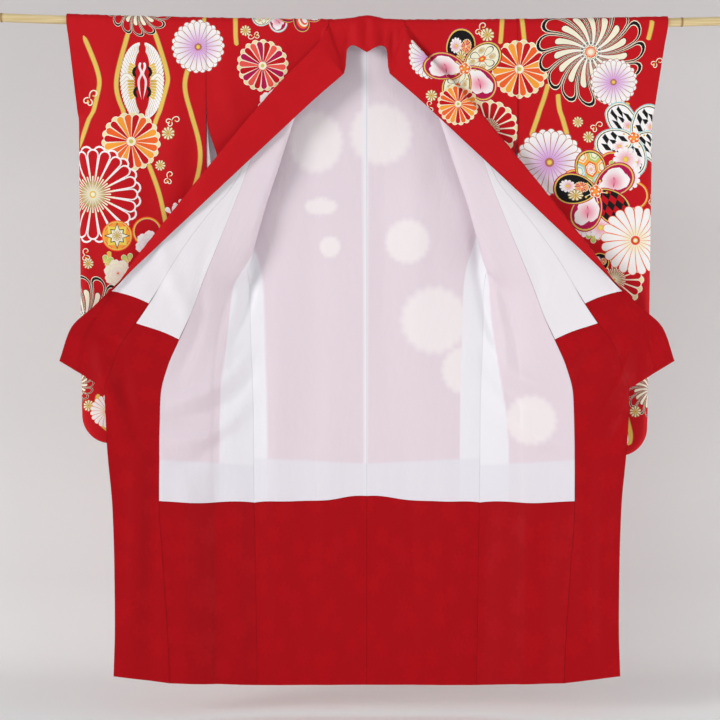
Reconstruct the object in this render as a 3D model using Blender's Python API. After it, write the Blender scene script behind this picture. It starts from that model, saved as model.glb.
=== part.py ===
"""Furisode, a long-sleeved formal kimono, hung by a bamboo pole through both sleeves.

The pole's axis is X and passes through the origin, +Z is up, and the garment's front faces -Y.
Both fronts are drawn open sideways, so each front turns over at a roll line, and its wide collar
folds back over it towards the viewer. Right and left are the wearer's: right is at -X.
Every piece of cloth is a wall between two offsets of one continuous sheet, so that the outer
cloth, its lining and the neighbours across a seam never meet.
"""

from math import cos, pi, sin

import bmesh
import bpy
from mathutils import Vector

# Driving dimensions, in metres.
CM = 0.01
POLE_RADIUS = 0.0105
POLE_LENGTH = 1.90
POLE_SIDES = 20
CLOTH = 0.0013  # wall of the outer cloth
LINING = 0.0013  # wall of the lining
SEAM_GAP = 0.0003  # between pieces at a seam, and between cloth and lining
POLE_CLEARANCE = 0.0003
ARC_STEP = pi / 4  # the cloth bends over the pole in flats of this angle
LARGEST_MITRE = 1.6

NECK_POINT = 8.7 * CM  # half the slit that the neck is cut from
FLAP_AT_NECK = 9.6 * CM  # collar width turned over towards the viewer, at the neck
FLAP_LENGTH = 74.0 * CM  # along the collar's free edge, where that flap runs out
FLAP_POWER = 1.25
BESIDE_SEAM = 1.0 * CM  # the columns next to the side line lie this far from it
CHEST_SPLIT = 0.5  # where the chest's middle column lies

# Radius of the sheet's corners over the pole, so that the lining's flats clear the pole.
OVER_POLE = (POLE_RADIUS + POLE_CLEARANCE + LINING + SEAM_GAP / 2) / cos(ARC_STEP / 2)

# The two halves differ a little in how they hang: half the shoulder, the sleeve's far end at
# the shoulder and below the cuff, and the sleeve's length.
HALF_COLUMNS = ("side", "sign", "shoulder", "cuff_top", "cuff_foot", "sleeve_foot", "length")
HALVES = (
    ("right", -1, 37.6, 70.4, 67.6, 66.8, 99.4),
    ("left", 1, 35.3, 70.6, 67.0, 65.8, 102.4),
)

# Each table below has one row for each section across the half, from the shoulder to the hem,
# in centimetres: x is measured out from the centre back, drop down from the pole's axis, and
# y away from the viewer.
# The centre back seam and the side line. The side line is two edges down to the armhole slit's
# foot, and from there on one seam. Bulge is how far each layer stands off a sharp fold there.
SIDE_COLUMNS = ("centre_drop", "centre_y", "x", "drop", "front_y", "back_x", "back_y", "bulge")
SIDE = (
    (1.2, 1.36, 37.6, 1.2, -1.36, 37.6, 1.36, 0.00),
    (3.3, 1.40, 37.6, 3.3, -1.43, 37.6, 1.40, 0.00),
    (5.6, 1.45, 37.6, 5.6, -1.50, 37.6, 1.45, 0.00),
    (14.6, 1.60, 37.6, 14.6, -1.60, 37.6, 1.60, 0.00),
    (23.5, 1.80, 37.4, 23.5, -1.70, 37.6, 1.70, 0.00),
    (33.0, 2.00, 34.8, 33.5, -1.10, 36.8, 1.40, 0.00),
    (43.0, 2.20, 34.0, 42.3, 0.40, 34.0, 0.40, 0.70),
    (52.0, 2.40, 30.8, 51.7, 1.80, 30.8, 1.80, 0.80),
    (60.0, 2.50, 28.4, 58.7, 2.80, 28.4, 2.80, 0.20),
    (67.0, 2.50, 27.7, 64.6, 2.60, 27.7, 2.60, 0.00),
    (74.0, 2.50, 27.5, 71.7, 2.30, 27.5, 2.30, 0.00),
    (81.0, 2.50, 27.3, 78.0, 2.10, 27.3, 2.10, 0.00),
    (87.5, 2.50, 27.0, 84.5, 2.00, 27.0, 2.00, 0.00),
    (94.0, 2.50, 26.8, 91.0, 1.90, 26.8, 1.90, 0.00),
    (102.5, 2.50, 26.7, 100.5, 1.80, 26.7, 1.80, 0.00),
    (112.2, 2.50, 26.6, 113.7, 1.80, 26.6, 1.80, 0.00),
    (126.5, 2.50, 26.3, 127.5, 1.90, 26.3, 1.90, 0.00),
    (142.0, 2.50, 26.1, 142.5, 2.00, 26.1, 2.00, 0.00),
    (156.7, 2.50, 25.9, 156.7, 2.10, 25.9, 2.10, 0.00),
)
# The roll line where the front turns over, with the depth of the layer under it and over it,
# and the seam at the front panel's edge: to the collar, and from the gore's point on to the gore.
ROLL_COLUMNS = ("x", "drop", "under_y", "over_y", "seam_x", "seam_drop", "seam_y")
ROLL = (
    (9.9, 1.2, -1.60, -2.05, 9.4, 1.2, -2.20),
    (10.2, 3.4, -1.60, -2.20, 10.3, 3.3, -2.40),
    (10.6, 6.0, -1.60, -2.40, 11.5, 5.7, -2.55),
    (13.6, 14.6, -1.80, -2.70, 16.0, 13.2, -2.80),
    (16.9, 23.5, -1.90, -3.10, 20.4, 21.2, -3.30),
    (20.4, 34.3, -1.70, -3.50, 26.1, 31.1, -3.95),
    (23.5, 43.5, -1.20, -3.50, 29.4, 39.9, -4.20),
    (25.9, 51.7, -0.30, -2.80, 32.8, 48.5, -4.20),
    (28.2, 58.6, 1.60, -1.60, 35.9, 56.2, -4.60),
    (33.0, 64.0, 0.00, -1.30, 38.7, 63.1, -4.80),
    (34.5, 70.5, -0.80, -1.20, 41.0, 69.4, -5.00),
    (35.5, 76.6, -1.30, -1.60, 43.6, 75.3, -5.20),
    (36.0, 83.1, -1.60, -1.80, 46.3, 81.6, -5.20),
    (36.3, 89.8, -1.70, -1.90, 47.9, 88.4, -5.00),
    (36.4, 99.6, -1.70, -1.90, 48.2, 98.6, -4.80),
    (36.4, 113.2, -1.10, -1.30, 48.3, 112.6, -4.60),
    (36.2, 127.0, -0.95, -1.15, 47.5, 126.4, -4.40),
    (36.0, 141.8, -0.90, -1.10, 46.5, 141.0, -4.20),
    (35.8, 155.9, -0.90, -1.10, 45.8, 155.1, -4.20),
)
# The collar: how far along its free edge, from the neck corner, each section meets that edge,
# where its seam lies, and how deep its turned-over flap lies. It ends before the others do.
COLLAR_COLUMNS = ("along", "seam_x", "seam_drop", "seam_y", "hidden_y", "flap_y", "edge_y")
COLLAR = (
    (-1.0, 9.4, 1.2, -2.20, -2.40, -2.75, -3.00),
    (-0.5, 10.3, 3.3, -2.40, -2.65, -3.20, -3.40),
    (0.0, 11.5, 5.7, -2.55, -2.90, -3.80, -3.90),
    (8.0, 16.0, 13.2, -2.80, -3.10, -4.00, -4.10),
    (16.7, 20.5, 21.2, -3.30, -3.50, -4.40, -4.50),
    (27.9, 26.7, 30.8, -4.00, -4.20, -5.10, -5.20),
    (36.5, 30.8, 38.9, -4.50, -4.70, -5.70, -5.80),
    (46.1, 37.1, 46.5, -5.00, -5.30, -6.20, -6.30),
    (56.4, 43.0, 54.5, -5.40, -5.80, -6.60, -6.80),
    (64.9, 47.5, 61.8, -5.70, -6.00, -7.00, -7.40),
    (74.0, 50.5, 67.0, -5.90, -6.40, -7.10, -7.70),
    (80.0, 53.4, 71.2, -6.10, -6.80, -7.00, -7.30),
    (86.7, 57.1, 76.6, -6.40, -6.80, -7.10, -7.40),
    (94.8, 60.6, 86.5, -6.40, -6.70, -6.90, -7.10),
)
# The collar's free edge: the neck corner, the point that is drawn out sideways, and the tip.
# Lengths along it start at the corner.
EDGE_COLUMNS = ("along", "x", "drop")
FREE_EDGE = (
    (-1.0, 5.3, 12.2),
    (0.0, 5.4, 12.7),
    (86.7, 68.2, 72.4),
    (94.8, 71.0, 80.1),
)
EDGE_RISE = (0.690, 0.725)  # across the free edge, out and up
# How far along its width the collar's crest lies in the sections that have no flap.
FLAT_CRESTS = {0: 0.06, 1: 0.02, 10: 0.94, 11: 0.80, 12: 0.70, 13: 0.60}
# Below the collar the gore ends in its own free edge.
FOOT_COLUMNS = ("x", "drop", "y")
GORE_EDGE = (
    (60.2, 99.0, -6.20),
    (58.9, 114.5, -6.00),
    (58.5, 128.0, -5.80),
    (58.4, 141.5, -5.60),
    (58.7, 153.2, -5.60),
)
# The collar behind and over the pole: where its seam lies on the turn over the pole, by the
# angle from the viewer's side, where the section leaves the pole, and the free edge that hangs
# in front of it.
NECK_COLUMNS = ("seam_x", "seam_angle", "front_x", "edge_x", "edge_drop", "edge_y")
NECK = (
    (0.0, 180, 0.0, 0.0, 7.0, -2.7),
    (4.35, 180, 3.6, 3.5, 5.2, -1.9),
    (8.7, 180, 6.0, 4.7, 6.3, -2.0),
    (8.7, 135, 6.8, 4.8, 8.0, -2.1),
    (8.7, 90, 7.5, 4.9, 9.6, -2.3),
    (8.8, 45, 8.2, 5.0, 10.8, -2.6),
    (8.9, 0, 8.9, 5.2, 11.8, -2.9),
)
# Sections of the sleeve below the shoulder: its drop, and half the space between its two walls.
SLEEVE_COLUMNS = ("drop", "half_depth")
SLEEVE = (
    (5.6, 1.40),
    (14.6, 1.40),
    (23.5, 1.35),
    (45.0, 1.20),
    (66.0, 1.05),
    (84.0, 0.90),
)
SLEEVE_CORNER = 6.6 * CM  # radius of the rounded lower corner
CORNER_STEPS = 3
SLEEVE_EDGE = 0.8 * CM  # how far in the walls start to close at the sleeve's edge
CUFF_DROP = 23.5 * CM
SLEEVE_SPLIT = (0.34, 0.68)

GORE_START = 4  # the section where the gore's point lies
COLLAR_LINING_END = 10  # where the collar's white lining meets its red end
GORE_LINING_END = 11  # where the white linings of the gore and of the widths meet the red
WHITE_LINING_END = 15


def table(columns, rows):
    """Gives each row's numbers their column names."""
    return [dict(zip(columns, row)) for row in rows]


def at(x, drop, y):
    """A point of the half at +X, from centimetres."""
    return Vector((x * CM, y * CM, -drop * CM))


def over_pole(x, angle):
    """A point of the sheet where it lies over the pole. Angle 0 faces the viewer, 90 is the top."""
    turn = angle * pi / 180
    return Vector((x, -OVER_POLE * cos(turn), OVER_POLE * sin(turn)))


def spread(start, end, shares):
    return [start.lerp(end, share) for share in shares]


def round_fold(before, crest, after, under_y, over_y):
    """Three points that turn the sheet round a fold between the depths of its two layers."""
    radius = abs(over_y - under_y) / 2

    def beside(other, y):
        way = Vector((other.x - crest.x, 0, other.z - crest.z))
        reach = min(radius, 0.4 * way.length)
        point = crest + way.normalized() * reach
        return Vector((point.x, y, point.z))

    middle = Vector((crest.x, (under_y + over_y) / 2, crest.z))
    return [beside(before, under_y), middle, beside(after, over_y)]


def front_row(side, roll):
    """The front panel's section, from the side line round the roll to its seam."""
    start = at(side["x"], side["drop"], side["front_y"])
    crest = at(roll["x"], roll["drop"], 0)
    seam = at(roll["seam_x"], roll["seam_drop"], roll["seam_y"])
    fold = round_fold(start, crest, seam, roll["under_y"] * CM, roll["over_y"] * CM)
    beside = beside_seam(start, fold[0], -side["bulge"])
    return [start, beside, beside.lerp(fold[0], CHEST_SPLIT), *fold, fold[2].lerp(seam, 0.5), seam]


def beside_seam(start, onward, bulge):
    """The point of a section next to the side line, stood off by the bulge."""
    point = start.lerp(onward, min(BESIDE_SEAM / (onward - start).length, 0.3))
    point.y += bulge * CM
    return point


def shoulder_row(half, angle):
    """The front panel's section on the pole, where the folds have not begun."""
    shares = (0.0, 0.035, 0.45, 0.895, 0.93, 0.96, 0.98, 1.0)
    shoulder = over_pole(half["shoulder"] * CM, angle)
    neck = over_pole(NECK_POINT + (90 - angle) / 90 * 0.2 * CM, angle)
    return spread(shoulder, neck, shares)


def front_grid(half):
    sides = table(SIDE_COLUMNS, SIDE)
    rolls = table(ROLL_COLUMNS, ROLL)
    rows = [shoulder_row(half, angle) for angle in (90, 45, 0)]
    for side, roll in zip(sides, rolls):
        side["x"] = min(side["x"], half["shoulder"])
        rows.append(front_row(side, roll))
    return rows


def back_grid(half):
    """The back panel, from the centre seam to the side line. The neck is cut out of its top."""
    rows = []
    columns = (0.0, 0.25, 0.50, 0.75)
    for angle in (90, 135):
        neck = over_pole(NECK_POINT, angle)
        shoulder = over_pole(half["shoulder"] * CM, angle)
        rows.append([None, None, *spread(neck, shoulder, (0.0, 0.45, 0.965, 1.0))])
    tangent = [over_pole(0.0, 180), over_pole(NECK_POINT / 2, 180)]
    neck = over_pole(NECK_POINT, 180)
    tangent += spread(neck, over_pole(half["shoulder"] * CM, 180), (0.0, 0.45, 0.965, 1.0))
    rows.append(tangent)
    for side in table(SIDE_COLUMNS, SIDE):
        centre = at(0.0, side["centre_drop"], side["centre_y"])
        edge = at(min(side["back_x"], half["shoulder"]), side["drop"], side["back_y"])
        rows.append([*spread(centre, edge, columns), beside_seam(edge, centre, side["bulge"]), edge])
    return rows


def gore_grid():
    """The gore, from its seam with the front panel to the collar or its own free edge."""
    rows = []
    rolls = table(ROLL_COLUMNS, ROLL)
    collar = table(COLLAR_COLUMNS, COLLAR)
    feet = table(FOOT_COLUMNS, GORE_EDGE)
    for index in range(GORE_START, len(rolls)):
        inner = at(rolls[index]["seam_x"], rolls[index]["seam_drop"], rolls[index]["seam_y"])
        if index < len(collar):
            section = collar[index]
            outer = at(section["seam_x"], section["seam_drop"], section["seam_y"])
        else:
            foot = feet[index - len(collar)]
            outer = at(foot["x"], foot["drop"], foot["y"])
        rows.append(spread(inner, outer, (0.0, 0.5, 1.0)))
    return rows


def free_edge(along, y):
    """A point of the collar's free edge, at a length from the neck corner."""
    stops = table(EDGE_COLUMNS, FREE_EDGE)
    for first, last in zip(stops, stops[1:]):
        if along <= last["along"]:
            break
    share = (along - first["along"]) / (last["along"] - first["along"])
    return at(first["x"], first["drop"], y).lerp(at(last["x"], last["drop"], y), share)


def collar_row(index, section):
    """The collar's section, from its seam up to the crest and over it down to the free edge."""
    seam = at(section["seam_x"], section["seam_drop"], section["seam_y"])
    edge = free_edge(section["along"], section["edge_y"])
    if index in FLAT_CRESTS:
        crest = seam.lerp(edge, FLAT_CRESTS[index])
    else:
        width = FLAP_AT_NECK * (1 - (section["along"] * CM / FLAP_LENGTH) ** FLAP_POWER)
        out, up = EDGE_RISE
        crest = edge + Vector((out * width, 0, up * width))
    fold = round_fold(seam, crest, edge, section["hidden_y"] * CM, section["flap_y"] * CM)
    return [seam, seam.lerp(fold[0], 0.5), *fold, fold[2].lerp(edge, 0.5), edge]


def neck_row(section):
    """The collar's section where it lies over the pole. It fans out from the neck point, so the
    columns that its seam has passed lie together on the seam."""
    seam = section["seam_angle"]
    edge = at(section["edge_x"], section["edge_drop"], section["edge_y"])
    points = []
    for angle in (180, 135, 90, 45, 0):
        left = min(angle / seam, 1.0) if seam else 1.0
        x = section["front_x"] + (section["seam_x"] - section["front_x"]) * left
        points.append(over_pole(x * CM, min(angle, seam)))
    return [*points, points[-1].lerp(edge, 0.5), edge]


def collar_grid(half):
    sections = table(NECK_COLUMNS, NECK)
    rows = [neck_row(section) for section in sections]
    for index, section in enumerate(table(COLLAR_COLUMNS, COLLAR)):
        rows.append(collar_row(index, section))
    return rows


def sleeve_grid(half, facing):
    """One wall of the sleeve, from the armhole out to the cuff. Facing is -1 for the front."""
    inner = half["shoulder"] * CM
    length = half["length"] * CM
    rows = []
    for angle in (90, 90 + facing * 45, 90 + facing * 90):
        rows.append(sleeve_row(inner, half["cuff_top"] * CM, over_pole(0, angle).y, 0.0))
        for point in rows[-1]:
            point.z = over_pole(0, angle).z
    for section in table(SLEEVE_COLUMNS, SLEEVE):
        drop = section["drop"] * CM
        if drop < CUFF_DROP:
            outer = half["cuff_top"] + (half["cuff_foot"] - half["cuff_top"]) * drop / CUFF_DROP
        else:
            share = (drop - CUFF_DROP) / (length - CUFF_DROP)
            outer = half["cuff_foot"] + (half["sleeve_foot"] - half["cuff_foot"]) * share
        closing = 1.0 if drop >= CUFF_DROP else 0.0
        depth = facing * section["half_depth"] * CM
        rows.append(sleeve_row(inner, outer * CM, depth, closing))
        for point in rows[-1]:
            point.z = -drop
    depth = facing * SLEEVE[-1][1] * CM
    foot = half["sleeve_foot"] * CM
    for step in range(CORNER_STEPS + 1):
        turn = step * pi / 2 / CORNER_STEPS
        outer = foot - SLEEVE_CORNER * (1 - cos(turn))
        row = sleeve_row(inner, outer, depth * (1 - 0.2 * step), 1.0)
        for point in row:
            point.z = -(length - SLEEVE_CORNER * (1 - sin(turn)))
        rows.append(row)
    for point in rows[-1]:
        point.y = 0.0
    return rows


def sleeve_row(inner, outer, depth, closing):
    """A row of a sleeve wall. Closing 1 brings its outer end to meet the other wall."""
    near_edge = outer - SLEEVE_EDGE
    xs = [inner, *[inner + (near_edge - inner) * share for share in SLEEVE_SPLIT], near_edge, outer]
    row = [Vector((x, depth, 0)) for x in xs]
    row[-1].y = depth * (1 - closing)
    return row


def cells(grid, flipped):
    """The grid's faces as lists of (row, column), wound so that they face outwards."""
    for row in range(len(grid) - 1):
        for column in range(len(grid[row]) - 1):
            corners = [(row, column), (row, column + 1), (row + 1, column + 1), (row + 1, column)]
            if all(grid[r][c] is not None for r, c in corners):
                yield corners[::-1] if flipped else corners


def key(point):
    return tuple(round(value, 6) for value in point)


def triangles(grid, flipped):
    """The grid's faces as triangles of points, cut along the shorter diagonal, so that the cloth
    and its lining are cut alike."""
    for face in cells(grid, flipped):
        points = []
        for row, column in face:
            if key(grid[row][column]) not in [key(point) for point in points]:
                points.append(grid[row][column])
        if len(points) == 3:
            yield points
        elif len(points) == 4:
            if (points[0] - points[2]).length > (points[1] - points[3]).length:
                points = points[1:] + points[:1]
            yield [points[0], points[1], points[2]]
            yield [points[0], points[2], points[3]]


def sheet_normals(grids):
    """Every point's offset direction, shared by all the pieces that meet there, long enough to
    keep a wall's thickness where the sheet bends."""
    gathered = {}
    for grid, flipped in grids:
        for first, second, third in triangles(grid, flipped):
            normal = (second - first).cross(third - first)
            if normal.length < 1e-9:
                continue
            for point in (first, second, third):
                gathered.setdefault(key(point), []).append(normal.normalized())
    offsets = {}
    for place, normals in gathered.items():
        way = sum(normals, Vector((0, 0, 0))).normalized()
        even = sum(way.dot(normal) for normal in normals) / len(normals)
        offsets[place] = way * min(1 / max(even, 0.1), LARGEST_MITRE)
        if place[0] == 0:
            offsets[place].x = 0
        radial = Vector((0, place[1], place[2]))
        if abs(radial.length - OVER_POLE) < 1e-5:
            offsets[place] = radial.normalized() / cos(ARC_STEP / 2)
    return offsets


def neighbour(grid, row, column, down, across):
    """The next point of the grid that way that doesn't coincide, or None past its edges."""
    here = grid[row][column]
    row += down
    column += across
    while 0 <= row < len(grid) and 0 <= column < len(grid[row]):
        point = grid[row][column]
        if point is None or key(point) != key(here):
            return point
        row += down
        column += across
    return None


def inset(grid, row, column):
    """A point of the grid, drawn in from the piece's edges by half a seam gap."""
    here = grid[row][column]
    point = here.copy()
    for down, across in ((1, 0), (0, 1)):
        after = neighbour(grid, row, column, down, across)
        before = neighbour(grid, row, column, -down, -across)
        if (before is None) != (after is None):
            inner = after if before is None else before
            point += (inner - here).normalized() * SEAM_GAP * 0.55
    return point


def wall(name, grid, flipped, offsets, low, high, material, collection):
    """A closed wall of cloth between two offsets of a stretch of the sheet."""
    mesh = bpy.data.meshes.new(name)
    made = bmesh.new()
    layers = {}
    for row in range(len(grid)):
        for column in range(len(grid[row])):
            if grid[row][column] is None:
                continue
            place = key(grid[row][column])
            if place in layers or place not in offsets:
                continue
            point = inset(grid, row, column)
            way = offsets[place]
            layers[place] = [made.verts.new(point + way * depth) for depth in (low, high)]
    edges = {}
    for corners in triangles(grid, flipped):
        places = [key(point) for point in corners]
        made.faces.new([layers[place][1] for place in places])
        made.faces.new([layers[place][0] for place in reversed(places)])
        for first, last in zip(places, places[1:] + places[:1]):
            edges[(first, last)] = edges.get((first, last), 0) + 1
    for first, last in edges:
        if (last, first) not in edges:
            rim = [layers[last][1], layers[first][1], layers[first][0], layers[last][0]]
            made.faces.new(rim)
    bmesh.ops.triangulate(made, faces=made.faces)
    bmesh.ops.recalc_face_normals(made, faces=made.faces)
    made.to_mesh(mesh)
    made.free()
    mesh.materials.append(material)
    piece = bpy.data.objects.new(name, mesh)
    collection.objects.link(piece)
    return piece


def finish(name, colour, roughness, metallic=0.0):
    material = bpy.data.materials.new(name)
    material.use_nodes = True
    shader = material.node_tree.nodes["Principled BSDF"]
    shader.inputs["Base Color"].default_value = (*colour, 1)
    shader.inputs["Roughness"].default_value = roughness
    shader.inputs["Metallic"].default_value = metallic
    return material


def mirrored(grid, sign):
    """The grid at the half's own side of the centre."""
    side = Vector((sign, 1, 1))
    return [[point and point * side for point in row] for row in grid]


def make_half(half, finishes, collection):
    """All the pieces of one half of the garment."""
    side = half["side"]
    sign = half["sign"]
    back = mirrored(back_grid(half), sign)
    front = mirrored(front_grid(half), sign)
    gore = mirrored(gore_grid(), sign)
    collar = mirrored(collar_grid(half), sign)
    sleeve_front = mirrored(sleeve_grid(half, -1), sign)
    sleeve_back = mirrored(sleeve_grid(half, 1), sign)
    flipped = sign < 0
    sheets = {
        "back": (back, flipped),
        "front": (front, flipped),
        "okumi": (gore, flipped),
        "collar": (collar, flipped),
        "sleeve_front": (sleeve_front, not flipped),
        "sleeve_back": (sleeve_back, flipped),
    }
    offsets = sheet_normals(sheets.values())
    for name, (grid, turned) in sheets.items():
        wall(
            f"{name}_{side}", grid, turned, offsets,
            SEAM_GAP / 2, SEAM_GAP / 2 + CLOTH, finishes["crepe"], collection,
        )
    shoulder_rows = 3
    white_end = shoulder_rows + WHITE_LINING_END
    gore_end = GORE_LINING_END - GORE_START
    collar_end = len(NECK) + COLLAR_LINING_END
    linings = (
        ("back_lining", "back", 0, white_end, "white_silk"),
        ("back_hem_lining", "back", white_end, len(back) - 1, "red_silk"),
        ("front_lining", "front", 0, white_end, "white_silk"),
        ("front_hem_lining", "front", white_end, len(front) - 1, "red_silk"),
        ("okumi_lining", "okumi", 0, gore_end, "white_silk"),
        ("okumi_hem_lining", "okumi", gore_end, len(gore) - 1, "red_silk"),
        ("collar_lining", "collar", 0, collar_end, "white_silk"),
        ("collar_end_lining", "collar", collar_end, len(collar) - 1, "red_silk"),
        ("sleeve_lining_front", "sleeve_front", 0, len(sleeve_front) - 1, "white_silk"),
        ("sleeve_lining_back", "sleeve_back", 0, len(sleeve_back) - 1, "white_silk"),
    )
    for name, sheet, first, last, material in linings:
        grid, turned = sheets[sheet]
        wall(
            f"{name}_{side}", grid[first:last + 1], turned, offsets,
            -SEAM_GAP / 2 - LINING, -SEAM_GAP / 2, finishes[material], collection,
        )


def make_pole(material, collection):
    bpy.ops.mesh.primitive_cylinder_add(
        vertices=POLE_SIDES, radius=POLE_RADIUS, depth=POLE_LENGTH, rotation=(0, pi / 2, 0)
    )
    pole = bpy.context.object
    pole.name = "pole"
    pole.data.name = "pole"
    pole.data.materials.append(material)
    pole.data.shade_smooth()
    for other in list(pole.users_collection):
        other.objects.unlink(pole)
    collection.objects.link(pole)


def build():
    for thing in list(bpy.data.objects):
        bpy.data.objects.remove(thing, do_unlink=True)
    collection = bpy.data.collections.new("furisode")
    bpy.context.scene.collection.children.link(collection)
    finishes = {
        "crepe": finish("crepe", (0.55, 0.012, 0.018), 0.55),
        "white_silk": finish("white_silk", (0.84, 0.83, 0.87), 0.5),
        "red_silk": finish("red_silk", (0.38, 0.004, 0.010), 0.5),
        "bamboo": finish("bamboo", (0.72, 0.58, 0.34), 0.45),
    }
    for half in table(HALF_COLUMNS, HALVES):
        make_half(half, finishes, collection)
    make_pole(finishes["bamboo"], collection)


build()
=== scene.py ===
# %% [markdown]
# # A furisode on a bamboo pole
# A furisode is the long-sleeved formal kimono: straight widths of silk crepe, sewn edge to edge and
# lined with plain white silk above and deep red figured silk below. Here it hangs by a pole through
# both sleeves, and its fronts are drawn open, so that the lining shows. This notebook builds the
# cloth on the frame that the part's solids give: each panel is one smooth sheet, made from the same
# short tables as its solid, and its outer cloth and its lining are two skins of that sheet.

# %% Load the frame
import math
import time

import bpy
import numpy as np
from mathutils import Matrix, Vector
from mathutils.geometry import delaunay_2d_cdt


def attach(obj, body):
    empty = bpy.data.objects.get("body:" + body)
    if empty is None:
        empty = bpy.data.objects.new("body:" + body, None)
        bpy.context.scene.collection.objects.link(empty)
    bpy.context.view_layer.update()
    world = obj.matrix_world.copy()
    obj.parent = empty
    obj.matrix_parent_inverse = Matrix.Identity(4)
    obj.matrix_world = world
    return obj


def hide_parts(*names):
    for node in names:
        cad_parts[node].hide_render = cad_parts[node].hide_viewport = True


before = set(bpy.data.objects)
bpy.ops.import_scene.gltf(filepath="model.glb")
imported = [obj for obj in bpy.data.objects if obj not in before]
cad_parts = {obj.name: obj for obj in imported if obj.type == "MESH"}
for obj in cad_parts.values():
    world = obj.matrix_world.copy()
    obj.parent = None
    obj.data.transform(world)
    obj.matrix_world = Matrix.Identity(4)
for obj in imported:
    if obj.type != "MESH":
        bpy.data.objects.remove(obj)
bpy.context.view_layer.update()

# %% [markdown]
# ## The cut and the hang
# The tables repeat the part's own sections in centimetres: x is measured out from the centre back,
# drop down from the pole, and y away from the viewer. One row is one section across the half, from
# the shoulder to the hem, and the same row number is the same section in every table, so
# neighbouring panels share their seams. Both halves use them, mirrored.

# %% Named sizes
CM = 0.01
POLE_RADIUS = 0.0105
POLE_LENGTH = 1.90
OVER_POLE = 0.01326  # radius of the sheet where it lies over the pole
NECK_POINT = 8.7  # half the neck's width on the pole, in centimetres as all the tables
FLAP_AT_NECK = 9.6  # width of the collar's turned-back flap at the neck
FLAP_LENGTH = 74.0  # how far along the collar the flap has narrowed to nothing
FLAP_POWER = 1.25  # above 1 it narrows faster towards its end
EDGE_RISE = (0.690, 0.725)  # from its free edge out and up to its crest, for each centimetre of flap
FLAT_CRESTS = {0: 0.06, 1: 0.02, 10: 0.94, 11: 0.80, 12: 0.70, 13: 0.60}  # row: crest's place, seam to edge
SLEEVE_CORNER = 6.6  # radius of the sleeve's rounded lower corner
CUFF_DROP = 23.5  # depth of the hand opening
GORE_START = 4  # first row of the tables that the overlap panel reaches
COLLAR_LINING_END = 10  # rows where the white lining ends, on the collar,
GORE_LINING_END = 11  # on the overlap panel
WHITE_LINING_END = 15  # and on the front and the back
CLOTH_OUT = 0.0009  # metres from the middle of the sheet out to the crepe
LINING_IN = 0.0008  # and in to the lining
FAR = 9.0  # metres: further than anything here

HALVES = {
    "right": dict(sign=-1, shoulder=37.6, cuff_top=70.4, cuff_foot=67.6, sleeve_foot=66.8, length=99.4),
    "left": dict(sign=1, shoulder=35.3, cuff_top=70.6, cuff_foot=67.0, sleeve_foot=65.8, length=102.4),
}

# %% The sections, in centimetres
SIDE = np.array((  # centre_drop, centre_y, x, drop, front_y, back_x, back_y, bulge
    (1.2, 1.36, 37.6, 1.2, -1.36, 37.6, 1.36, 0.00),
    (3.3, 1.40, 37.6, 3.3, -1.43, 37.6, 1.40, 0.00),
    (5.6, 1.45, 37.6, 5.6, -1.50, 37.6, 1.45, 0.00),
    (14.6, 1.60, 37.6, 14.6, -1.60, 37.6, 1.60, 0.00),
    (23.5, 1.80, 37.4, 23.5, -1.70, 37.6, 1.70, 0.00),
    (33.0, 2.00, 34.8, 33.5, -1.10, 36.8, 1.40, 0.00),
    (43.0, 2.20, 34.0, 42.3, 0.40, 34.0, 0.40, 0.70),
    (52.0, 2.40, 30.8, 51.7, 1.80, 30.8, 1.80, 0.80),
    (60.0, 2.50, 28.4, 58.7, 2.80, 28.4, 2.80, 0.20),
    (67.0, 2.50, 27.7, 64.6, 2.60, 27.7, 2.60, 0.00),
    (74.0, 2.50, 27.5, 71.7, 2.30, 27.5, 2.30, 0.00),
    (81.0, 2.50, 27.3, 78.0, 2.10, 27.3, 2.10, 0.00),
    (87.5, 2.50, 27.0, 84.5, 2.00, 27.0, 2.00, 0.00),
    (94.0, 2.50, 26.8, 91.0, 1.90, 26.8, 1.90, 0.00),
    (102.5, 2.50, 26.7, 100.5, 1.80, 26.7, 1.80, 0.00),
    (112.2, 2.50, 26.6, 113.7, 1.80, 26.6, 1.80, 0.00),
    (126.5, 2.50, 26.3, 127.5, 1.90, 26.3, 1.90, 0.00),
    (142.0, 2.50, 26.1, 142.5, 2.00, 26.1, 2.00, 0.00),
    (156.7, 2.50, 25.9, 156.7, 2.10, 25.9, 2.10, 0.00),
))
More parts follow.
